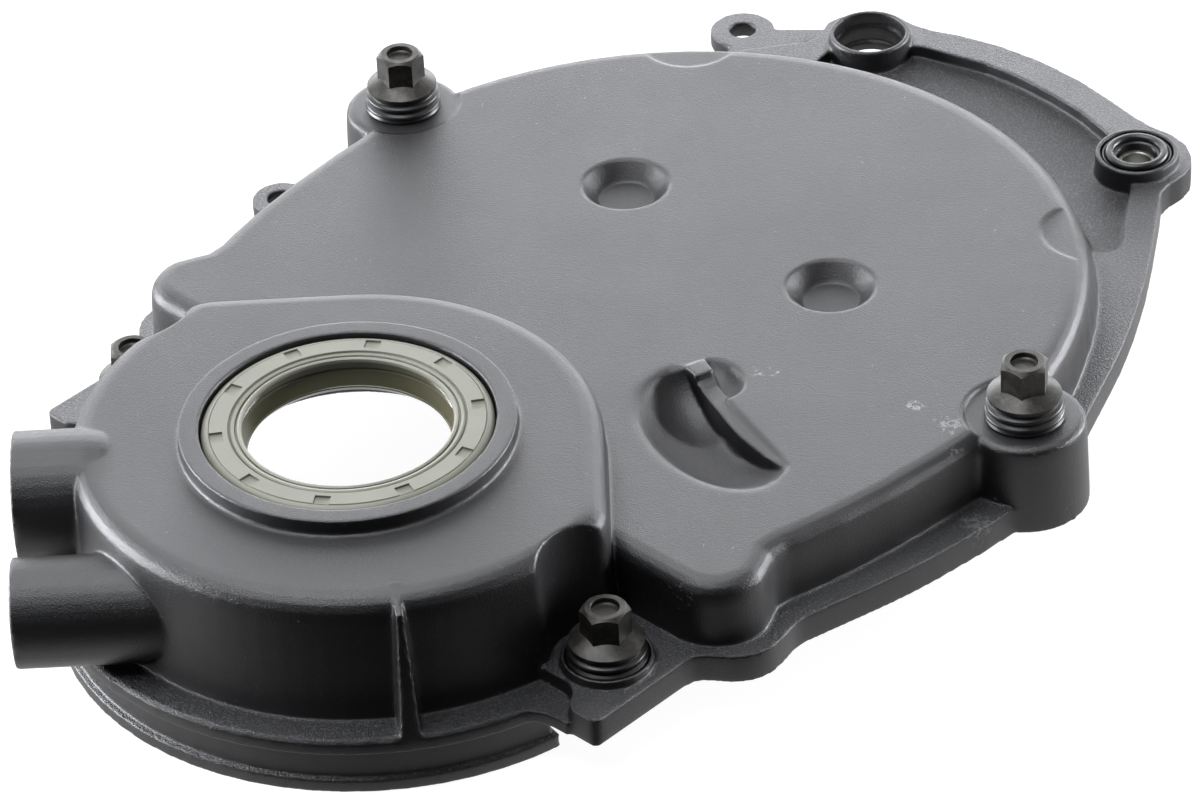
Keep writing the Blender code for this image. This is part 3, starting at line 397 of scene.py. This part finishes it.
# Steel, zinc phosphated and oiled: dark grey with a crystalline speckle and paler patches
def phosphated_steel():
    material, tree, shader, place = new_material("phosphated_steel", Metallic=0.5)
    crystals = grain(tree, place, 0.35 * MM, 4.0, 0.7)
    cloud = grain(tree, place, 4.0 * MM, 4.0)
    tone = blend(tree, levels(tree, crystals, 0.4, 0.65), "#1d1c1a", "#34322e")
    patches = levels(tree, cloud, 0.45, 0.75)
    tree.links.new(blend(tree, patches, tone, "#4a4843"), shader.inputs["Base Color"])
    tree.links.new(levels(tree, crystals, 0.3, 0.7, 0.32, 0.46), shader.inputs["Roughness"])
    rough_surface(tree, shader, [(crystals, 0.03 * MM, 0.5)])
    return material


# Steel, drawn and plated with bright zinc: silvery, slightly clouded
def zinc_steel():
    material, tree, shader, place = new_material("zinc_steel", Metallic=1.0)
    cloud = grain(tree, place, 5.0 * MM, 5.0)
    tree.links.new(blend(tree, cloud, "#85857f", "#a0a09a"), shader.inputs["Base Color"])
    tree.links.new(levels(tree, cloud, 0.3, 0.7, 0.28, 0.42), shader.inputs["Roughness"])
    rough_surface(tree, shader, [(grain(tree, place, 0.2 * MM), 0.01 * MM, 0.3)])
    return material


# Free-cutting brass, turned: warm yellow, dulled in patches
def brass():
    material, tree, shader, place = new_material("brass", Metallic=1.0)
    cloud = grain(tree, place, 3.0 * MM, 5.0)
    tree.links.new(blend(tree, cloud, "#a67f3f", "#cfa75f"), shader.inputs["Base Color"])
    tree.links.new(levels(tree, cloud, 0.3, 0.7, 0.28, 0.45), shader.inputs["Roughness"])
    rough_surface(tree, shader, [(grain(tree, place, 0.2 * MM), 0.01 * MM, 0.3)])
    return material


NYLON = moulded_nylon()
SEAL_RUBBER = seal_rubber()
BLACK_RUBBER = black_rubber()
GASKET_RUBBER = gasket_rubber()
PHOSPHATED_STEEL = phosphated_steel()
ZINC_STEEL = zinc_steel()
BRASS = brass()


# Pieces


def moulded_cover():
    """The moulding, with its edges rounded and its corners filled as a mould leaves them."""
    item = merged_copy("cover_skin", "cover_body")
    reshape_gate(item)
    voxel, rounds, triangles = 0.42 * MM, 8, 195000
    soften(item, voxel, rounds, triangles, in_bowl)
    return finish(item, "cover_body", NYLON)


# The moulding gate, its places in millimetres from the crank
GATE_CENTRE = (51.0, 72.0)
BOWL_MIDDLE = (50.0, 65.0)
RUNNER_START = (29.2, 81.2)
RUNNER_HEADING = -19.0
RUNNER = (  # distance along the runner, offset across it, top below the face and half width, in mm
    (0.0, 0.0, 0.3, 2.2),
    (1.2, 0.0, -0.5, 2.5),
    (6.0, -0.2, -0.6, 2.5),
    (6.5, -0.2, 0.9, 2.4),
    (8.6, -0.4, 1.2, 2.3),
    (9.0, -0.4, 1.6, 2.2),
    (17.0, -1.0, 1.1, 2.5),
    (29.0, -1.8, 1.0, 2.3),
    (41.0, -1.0, 0.8, 1.7),
    (49.5, 0.6, 0.2, 0.9),
)


def gate_tool(place, reach, height, tall, ball):
    """A ball or drum over the gate, stretched along the runner and across it by the two reaches."""
    location = (*at_crank(*place), height)
    turn = (0.0, 0.0, math.radians(RUNNER_HEADING))
    deselect()
    if ball:
        bpy.ops.mesh.primitive_uv_sphere_add(segments=96, ring_count=48, location=location, rotation=turn)
    else:
        bpy.ops.mesh.primitive_cylinder_add(vertices=96, location=location, rotation=turn)
    item = bpy.context.object
    item.scale = (reach[0] * MM, reach[1] * MM, tall)
    return place_in_mesh(item)


def halved(item, beyond):
    """Keeps the tool's side toward the crank, up to a line along the runner just past the gate's centre."""
    heading = math.radians(RUNNER_HEADING)
    aside = Vector((-math.sin(heading), math.cos(heading), 0.0))
    pick(item)
    bpy.ops.object.mode_set(mode="EDIT")
    bpy.ops.mesh.select_all(action="SELECT")
    bpy.ops.mesh.bisect(
        plane_co=Vector((*at_crank(*GATE_CENTRE), 0.0)) + aside * beyond * MM,
        plane_no=aside,
        use_fill=True,
        clear_outer=True,
    )
    bpy.ops.object.mode_set(mode="OBJECT")
    return item


def in_bowl(vertex):
    """Whether a point of the skin lies in the gate's bowl, from its rim to the foot of the runner."""
    foot = 12.0 * MM
    near_rim, runner_foot, half_length = -18.5 * MM, 4.6 * MM, 28.0 * MM
    if vertex.co.z < foot or vertex.normal.z < 0.05:
        return False
    heading = math.radians(RUNNER_HEADING)
    from_middle = vertex.co.xy - Vector(at_crank(*BOWL_MIDDLE))
    along = from_middle.x * math.cos(heading) + from_middle.y * math.sin(heading)
    across = from_middle.y * math.cos(heading) - from_middle.x * math.sin(heading)
    return near_rim < across < runner_foot and abs(along) < half_length


def reshape_gate(item):
    """The feeding gate: a dished bowl on one side of the runner and a small hollow at its broken end."""
    plug_height = DOME_TOP - GATE_FLOOR
    plug = gate_tool(GATE_CENTRE, (27.0, 22.6), GATE_FLOOR + plug_height / 2, plug_height / 2, ball=False)
    combine(item, halved(plug, 6.4), "UNION")
    dish = gate_tool((50.5, 65.0), (31.0, 18.7), DOME_TOP + 11.2 * MM, 18.7 * MM, ball=True)
    combine(item, halved(dish, 1.4), "DIFFERENCE")
    deep = gate_tool((41.5, 69.5), (16.5, 11.5), DOME_TOP + 5.0 * MM, 13.6 * MM, ball=True)
    combine(item, halved(deep, 1.2), "DIFFERENCE")
    hollow = gate_tool((37.6, 79.4), (10.5, 8.6), DOME_TOP + 6.0 * MM, 9.6 * MM, ball=True)
    combine(item, hollow, "DIFFERENCE")
    combine(item, gate_runner(), "UNION")


def gate_runner():
    """The runner left across the bowl, drawn out from its broken end to its point."""
    deselect()
    bpy.ops.mesh.primitive_plane_add(size=1.0, rotation=(0.0, math.radians(90.0), 0.0))
    item = bpy.context.object
    item.name = "gate_runner"
    place_in_mesh(item)
    distance, offset, below, half = RUNNER[0]
    tall = DOME_TOP - below * MM - GATE_FLOOR
    item.data.transform(Matrix.Translation((0.0, 0.0, 0.5)))
    item.data.transform(Matrix.Diagonal((1.0, 2.0 * half * MM, tall, 1.0)))
    bpy.ops.object.mode_set(mode="EDIT")
    bpy.ops.mesh.select_all(action="SELECT")
    for next_distance, next_offset, below, next_half in RUNNER[1:]:
        step = ((next_distance - distance) * MM, (next_offset - offset) * MM, 0.0)
        bpy.ops.mesh.extrude_region_move(TRANSFORM_OT_translate={"value": step})
        next_tall = DOME_TOP - below * MM - GATE_FLOOR
        bpy.ops.transform.resize(
            value=(1.0, next_half / half, next_tall / tall),
            center_override=(next_distance * MM, next_offset * MM, 0.0),
        )
        distance, offset, half, tall = next_distance, next_offset, next_half, next_tall
    bpy.ops.mesh.select_all(action="SELECT")
    bpy.ops.mesh.fill_holes(sides=4)
    bpy.ops.mesh.normals_make_consistent(inside=False)
    bpy.ops.object.mode_set(mode="OBJECT")
    start = (*at_crank(*RUNNER_START), GATE_FLOOR)
    item.data.transform(Matrix.Translation(start) @ Matrix.Rotation(math.radians(RUNNER_HEADING), 4, "Z"))
    return item


def seal_profile():
    """The crank seal's section, from the back of its outside over the face and down its lips."""
    outside = 33.1 * MM
    front = (  # radius in metres, and height above the face in mm
        (outside, -2.2),
        (33.0 * MM, -1.3),
        (32.7 * MM, -0.75),
        (32.25 * MM, -0.4),
        (31.7 * MM, -0.2),
        (31.35 * MM, -0.12),
        (31.2 * MM, -0.3),
        (31.05 * MM, 0.0),
        (27.0 * MM, 0.0),
        (26.85 * MM, -0.5),
        (26.55 * MM, -0.7),
        (26.4 * MM, -0.35),
        (26.0 * MM, -0.1),
        (25.45 * MM, -0.2),
        (25.2 * MM, -0.8),
        (25.0 * MM, -0.8),
        (24.85 * MM, -0.3),
        (24.4 * MM, -0.12),
        (23.95 * MM, -0.3),
        (23.8 * MM, -0.9),
        (24.5 * MM, -2.4),
        (24.9 * MM, -3.6),
        (24.6 * MM, -3.9),
        (24.45 * MM, -4.4),
        (23.3 * MM, -7.1),
        (23.1 * MM, -7.2),
        (23.05 * MM, -7.5),
        (24.3 * MM, -9.0),
    )
    back = [
        (26.0 * MM, SEAL_BACK + 1.6 * MM),
        (25.5 * MM, SEAL_BACK + 3.3 * MM),
        (26.8 * MM, SEAL_BACK + 7.2 * MM),
        (31.1 * MM, SEAL_BACK + 7.2 * MM),
        (31.1 * MM, SEAL_BACK),
        (outside, SEAL_BACK),
    ]
    return [*((radius, SEAL_FACE + height * MM) for radius, height in front), *back]


POCKET_COUNT = 10
FIRST_POCKET = 16.5  # degrees round from the right
POCKET_MIDDLE = 29.6 * MM
POCKET_SIZE = (3.0 * MM, 3.6 * MM, 1.1 * MM)  # half of its height lies above the face


def crank_seal():
    """The crank seal: beaded lips inside a flat face with shallow pockets, and a fine ring around them."""
    item = turned("seal_lips", CRANK, seal_profile(), 144)
    for number in range(POCKET_COUNT):
        angle = math.radians(FIRST_POCKET + 360.0 * number / POCKET_COUNT)
        spot = (POCKET_MIDDLE * math.cos(angle), CRANK[1] + POCKET_MIDDLE * math.sin(angle), SEAL_FACE)
        deselect()
        bpy.ops.mesh.primitive_cube_add(size=1.0, location=spot, rotation=(0.0, 0.0, angle))
        tool = bpy.context.object
        tool.scale = POCKET_SIZE
        combine(item, place_in_mesh(tool), "DIFFERENCE")
    smooth(item, 28)
    return finish(item, "crank_seal", SEAL_RUBBER)


def garter_spring():
    """The seal's spring, wound from wire: a small circle carried round the ring as it turns."""
    middle = 26.45 * MM
    coil = 0.45 * MM
    wire = 0.16 * MM  # the wire's own radius
    height = 30.4 * MM
    turns = 150
    points_per_turn = 8
    steps = turns * points_per_turn
    curve = bpy.data.curves.new("garter_wire", "CURVE")
    curve.dimensions = "3D"
    curve.bevel_depth = wire
    curve.bevel_resolution = 0
    spline = curve.splines.new("POLY")
    spline.points.add(steps - 1)
    spline.use_cyclic_u = True
    for number, point in enumerate(spline.points):
        around = math.tau * number / steps
        across = around * turns
        reach = middle + coil * math.cos(across)
        x, y = reach * math.cos(around), CRANK[1] + reach * math.sin(around)
        point.co = (x, y, height + coil * math.sin(across), 1.0)
    item = bpy.data.objects.new("garter_wire", curve)
    bpy.context.scene.collection.objects.link(item)
    pick(item)
    bpy.ops.object.convert(target="MESH")
    item = bpy.context.object
    smooth(item, 60)
    return finish(item, "garter_spring", ZINC_STEEL)


def seal_case():
    item = merged_copy("seal_case_sheet", "seal_case")
    apply(item, "BEVEL", width=0.2 * MM, segments=2, limit_method="ANGLE")
    smooth(item, 40)
    return finish(item, "seal_case", ZINC_STEEL)


def bolt_form():
    """One flanged bolt at the origin, its flange seated near z = 0: upper shank, cone, hexagon and dish."""
    shank_foot = -STACK_HEIGHT - FLANGE_TOP
    corner = HEX_FLATS / math.sqrt(3)
    edge = 0.6 * MM
    body = [
        (SHANK_RADIUS, shank_foot),
        (SHANK_RADIUS, -0.4 * MM),
        (8.0 * MM, -0.4 * MM),
        (8.0 * MM, 0.0),
        (8.3 * MM, 0.0),
        (8.5 * MM, 0.2 * MM),
        (8.5 * MM, edge),
        (corner, edge + 1.7 * MM),
        (corner - MM, edge + 2.2 * MM),
    ]
    item = turned("bolt_form", (0.0, 0.0), body, 96, closed=False)
    deselect()
    low = edge + 0.4 * MM
    bpy.ops.mesh.primitive_cylinder_add(
        vertices=6,
        radius=corner,
        depth=HEAD_HEIGHT - low,
        location=(0.0, 0.0, (HEAD_HEIGHT + low) / 2),
        rotation=(0.0, 0.0, math.radians(30.0)),
    )
    hexagon = place_in_mesh(bpy.context.object)
    chamfer = [(7.0 * MM, 0.0), (7.0 * MM, HEAD_HEIGHT - 2.0 * MM), (4.5 * MM, HEAD_HEIGHT)]
    combine(hexagon, turned("chamfer", (0.0, 0.0), chamfer, 64, closed=False), "INTERSECT")
    combine(item, hexagon, "UNION")
    dish = [
        (2.7 * MM, HEAD_HEIGHT - 1.5 * MM),
        (3.1 * MM, HEAD_HEIGHT - 1.2 * MM),
        (3.2 * MM, HEAD_HEIGHT - 0.1 * MM),
        (3.6 * MM, HEAD_HEIGHT + 0.3 * MM),
    ]
    combine(item, turned("dish", (0.0, 0.0), dish, 48, closed=False), "DIFFERENCE")
    return apply(item, "BEVEL", width=0.18 * MM, segments=2, limit_method="ANGLE")


def seated_bolt(station):
    """A bolt in its place: the form, with a threaded shank through it that ends behind the mounting face."""
    place, boss_top, turn = STATIONS[station]
    seat = boss_top + STACK_HEIGHT
    item = copy_to(BOLT_FORM, "hex_bolt_" + station, (*place, seat), turn)
    tip = -BOLT_REACH
    shank = [(2.3 * MM, tip)]
    crest_count = int(BOLT_REACH / THREAD_PITCH) + 6
    crest = ((2.5, 0.0), (2.95, 0.4), (2.95, 0.52), (2.5, 0.92))  # radius and rise, in mm
    for number in range(crest_count):
        start = tip + 0.5 * MM + number * THREAD_PITCH
        shank += [(radius * MM, start + rise * MM) for radius, rise in crest]
    shank += [(SHANK_RADIUS, tip + crest_count * THREAD_PITCH + 1.2 * MM), (SHANK_RADIUS, seat - MM)]
    combine(item, turned("shank", place, shank, 48, closed=False), "UNION")
    smooth(item, 25)
    return finish(item, "bolt_" + station, PHOSPHATED_STEEL)


def isolator_profile():
    """Section of a bolt's isolator above its boss: two rings with a groove between, under a thin collar."""
    inner = SLEEVE_OUTSIDE + GAP
    top = STACK_HEIGHT - GAP
    return [
        (inner, GAP),
        (9.0 * MM, GAP),
        (9.2 * MM, GAP + 0.2 * MM),
        *bead(8.6 * MM, 1.6 * MM, 0.6 * MM, -60, 60, 6),
        (8.45 * MM, 2.5 * MM),
        (8.4 * MM, 2.9 * MM),
        *bead(8.35 * MM, 3.7 * MM, 0.55 * MM, -70, 70, 6),
        (8.0 * MM, 4.5 * MM),
        (7.9 * MM, 4.8 * MM),
        (8.1 * MM, 5.1 * MM),
        (8.1 * MM, top),
        (inner, top),
    ]


def isolator(station):
    """A bolt's isolator: the rings above its boss, and a neck down into the boss."""
    place, boss_top, _ = STATIONS[station]
    inner = SLEEVE_OUTSIDE + GAP
    neck = max(boss_top - 5.0 * MM, 3.0 * MM)
    upper = [(radius, boss_top + rise) for radius, rise in isolator_profile()[1:]]
    lower = [(inner, neck), (6.5 * MM, neck), (6.7 * MM, neck + 0.2 * MM), (6.7 * MM, boss_top + GAP)]
    profile = [*lower, *upper]
    item = smooth(turned("rubber_isolator_" + station, place, profile, 96), 35)
    return finish(item, "isolator_" + station, BLACK_RUBBER)


def top_isolator():
    """The isolator in the upper right cup: a flat collar, a groove and a round bead about a ridged bore."""
    inner = SLEEVE_OUTSIDE + GAP
    collar = 8.6 * MM
    ledge = CUP_TOP - 0.7 * MM
    profile = [
        (inner, 3.0 * MM),
        (6.7 * MM, 3.0 * MM),
        (6.7 * MM, 6.3 * MM),
        (collar, 6.3 * MM),
        (collar, ledge - 0.25 * MM),
        (collar - 0.2 * MM, ledge),
        (collar - 0.55 * MM, ledge - 0.05 * MM),
        (collar - 0.75 * MM, ledge - 0.5 * MM),
        *bead(6.62 * MM, CUP_TOP - 0.65 * MM, 1.15 * MM, -20, 200, 14),
        (5.3 * MM, ledge - 0.55 * MM),
        (inner + 0.15 * MM, ledge - 0.6 * MM),
    ]
    depth = 0.0
    while ledge - 1.1 * MM - depth > 3.6 * MM:
        height = ledge - 0.8 * MM - depth
        profile += [(inner, height), (inner + 0.18 * MM, height - 0.2 * MM)]
        depth += 0.45 * MM
    item = smooth(turned("rubber_isolator_top", TOP_CUP, profile, 112), 40)
    return finish(item, "isolator_top_right", BLACK_RUBBER)


def sleeve(name, node, place, top):
    """A steel sleeve from the mounting face up to a height, with eased ends."""
    ease = 0.25 * MM
    profile = [
        (SLEEVE_BORE, ease),
        (SLEEVE_BORE + ease, 0.0),
        (SLEEVE_OUTSIDE - ease, 0.0),
        (SLEEVE_OUTSIDE, ease),
        (SLEEVE_OUTSIDE, top - ease),
        (SLEEVE_OUTSIDE - ease, top),
        (SLEEVE_BORE + ease, top),
        (SLEEVE_BORE, top - ease),
    ]
    item = smooth(turned(name, place, profile, 64), 30)
    return finish(item, node, ZINC_STEEL)


def carried_over(name, node, material, bevel):
    """A CAD node whose form is right already, with its edges eased when a bevel width is given."""
    item = merged_copy(name, node)
    if bevel:
        apply(item, "BEVEL", width=bevel, segments=2, limit_method="ANGLE")
    smooth(item, 35)
    return finish(item, node, material)


moulded_cover()
crank_seal()
garter_spring()
seal_case()
BOLT_FORM = bolt_form()
for name in STATIONS:
    seated_bolt(name)
    isolator(name)
    spot, boss, _ = STATIONS[name]
    sleeve("steel_sleeve_" + name, "sleeve_" + name, spot, boss + STACK_HEIGHT - GAP)
bpy.data.objects.remove(BOLT_FORM, do_unlink=True)
top_isolator()
sleeve("steel_sleeve_top", "sleeve_top_right", TOP_CUP, CUP_TOP - 2.8 * MM)
carried_over("gasket_bead", "perimeter_gasket", GASKET_RUBBER, 0.0)
carried_over("brass_insert", "threaded_insert", BRASS, 0.2 * MM)


# Floor, light and camera

CAMERA_TARGET = Vector((0.48 * MM, -147.19 * MM, 0.0))
FLOOR_HEIGHT = -12.1 * MM
TO_CAMERA = (0.7135, -0.7005, 0.0)  # the level direction from the cover
CAMERA_AZIMUTH = -45.533
CAMERA_ELEVATION = 35.894
CAMERA_ROLL = -3.154
CAMERA_DISTANCE = 1454.2 * MM
CAMERA_LENS = 186.175
SOFT_WHITE = (0.94, 0.955, 1.0)
PLAIN_WHITE = (1.0, 1.0, 1.0, 1.0)
LAMPS = (  # name, place, width and height in metres, power in watts
    ("back_softbox", (-0.95, 0.78, 0.66), (2.2, 0.84), 18.5),
    ("horizon_strip", (-1.2, 1.0, 0.12), (2.4, 0.2), 18.0),
    ("top_softbox", (-0.2, -0.35, 1.3), (1.3, 0.9), 23.0),
    ("left_softbox", (-1.25, -0.95, 0.2), (1.1, 0.6), 70.0),
    ("right_softbox", (0.7, 1.25, 0.2), (0.9, 0.5), 44.0),
)


def outside_front(tree, direction):
    """0 toward the camera and 1 to the sides and behind, from a direction that lies level."""
    level = add_node(tree, "ShaderNodeVectorMath", {0: direction}, operation="MULTIPLY")
    level.inputs[1].default_value = (1.0, 1.0, 0.0)
    unit = add_node(tree, "ShaderNodeVectorMath", {0: level.outputs["Vector"]}, operation="NORMALIZE")
    front = add_node(tree, "ShaderNodeVectorMath", {0: unit.outputs["Vector"]}, operation="DOT_PRODUCT")
    front.inputs[1].default_value = TO_CAMERA
    return levels(tree, front.outputs["Value"], 0.75, 0.2)


def seen_or_mirrored(tree):
    """1 for rays from the camera, and 1 for rays from a mirroring or clear surface."""
    paths = add_node(tree, "ShaderNodeLightPath").outputs
    mirrored = arithmetic(tree, "MAXIMUM", paths["Is Glossy Ray"], paths["Is Transmission Ray"])
    return paths["Is Camera Ray"], mirrored


def floor():
    """A white table, seen white with a soft shadow. The cover mirrors it white, but dark in front."""
    bpy.ops.mesh.primitive_plane_add(size=8.0, location=(0.0, 0.0, FLOOR_HEIGHT))
    item = bpy.context.object
    item.name = "floor"
    material = bpy.data.materials.new("white_table")
    material.use_nodes = True
    tree = material.node_tree
    tree.nodes.clear()
    seen, mirrored = seen_or_mirrored(tree)
    shaded = add_node(tree, "ShaderNodeBsdfDiffuse", Color=colour("#8c8c8c")).outputs[0]
    white = add_node(tree, "ShaderNodeEmission", Color=PLAIN_WHITE, Strength=0.93).outputs[0]
    bright = add_node(tree, "ShaderNodeAddShader", {0: shaded, 1: white}).outputs[0]
    paint = add_node(tree, "ShaderNodeBsdfDiffuse", Color=colour("#3c3c3c")).outputs[0]
    place = add_node(tree, "ShaderNodeTexCoord").outputs["Object"]
    from_part = add_node(tree, "ShaderNodeVectorMath", {0: place}, operation="SUBTRACT")
    from_part.inputs[1].default_value = CAMERA_TARGET
    away = from_part.outputs["Vector"]
    ahead = add_node(tree, "ShaderNodeVectorMath", {0: away}, operation="DOT_PRODUCT")
    ahead.inputs[1].default_value = TO_CAMERA
    close_by = levels(tree, ahead.outputs["Value"], 0.15, 0.12)
    sides = arithmetic(tree, "MAXIMUM", outside_front(tree, away), close_by)
    sides = levels(tree, sides, 0.0, 1.0, 0.03, 1.0)
    image = add_node(tree, "ShaderNodeEmission", {"Strength": sides}, Color=PLAIN_WHITE).outputs[0]
    others = add_node(tree, "ShaderNodeMixShader", {0: mirrored, 1: paint, 2: image}).outputs[0]
    surface = add_node(tree, "ShaderNodeMixShader", {0: seen, 1: others, 2: bright}).outputs[0]
    add_node(tree, "ShaderNodeOutputMaterial", {"Surface": surface})
    item.data.materials.append(material)


def room():
    """A dim studio, white to the camera and mirrored white at the sides and behind."""
    world = bpy.data.worlds.new("studio")
    bpy.context.scene.world = world
    world.use_nodes = True
    tree = world.node_tree
    seen, mirrored = seen_or_mirrored(tree)
    direction = add_node(tree, "ShaderNodeTexCoord").outputs["Generated"]
    sides = arithmetic(tree, "MULTIPLY", outside_front(tree, direction), mirrored)
    strength = levels(tree, sides, 0.0, 1.0, 0.06, 0.8)
    strength = arithmetic(tree, "MAXIMUM", strength, seen)
    background = tree.nodes["Background"]
    background.inputs["Color"].default_value = PLAIN_WHITE
    tree.links.new(strength, background.inputs["Strength"])


def lamp(name, place, size, power):
    """A rectangular softbox that faces the cover."""
    data = bpy.data.lights.new(name, "AREA")
    data.shape = "RECTANGLE"
    data.size, data.size_y = size
    data.energy = power
    data.color = SOFT_WHITE
    item = bpy.data.objects.new(name, data)
    bpy.context.scene.collection.objects.link(item)
    item.location = place
    item.rotation_euler = (CAMERA_TARGET - Vector(place)).to_track_quat("-Z", "Y").to_euler()


def camera():
    """The photo's camera: 36 degrees above the table, from the cover's lower right, with a long lens."""
    azimuth = math.radians(CAMERA_AZIMUTH)
    elevation = math.radians(CAMERA_ELEVATION)
    roll = math.radians(CAMERA_ROLL)
    ahead = Vector((math.sin(azimuth), math.cos(azimuth), 0.0))
    forward = ahead * math.cos(elevation) - Vector((0.0, 0.0, math.sin(elevation)))
    level = Vector((math.cos(azimuth), -math.sin(azimuth), 0.0))
    upright = level.cross(forward)
    right = level * math.cos(roll) + upright * math.sin(roll)
    up = upright * math.cos(roll) - level * math.sin(roll)
    data = bpy.data.cameras.new("camera")
    data.sensor_width = 36
    data.lens = CAMERA_LENS
    data.clip_start = 0.05
    data.clip_end = 20
    item = bpy.data.objects.new("camera", data)
    bpy.context.scene.collection.objects.link(item)
    spot = CAMERA_TARGET - forward * CAMERA_DISTANCE
    columns = [(*right, 0.0), (*up, 0.0), (*-forward, 0.0), (*spot, 1.0)]
    item.matrix_world = Matrix(columns).transposed()
    bpy.context.scene.camera = item


floor()
room()
for row in LAMPS:
    lamp(*row)
camera()
bpy.context.scene.view_settings.view_transform = "Standard"
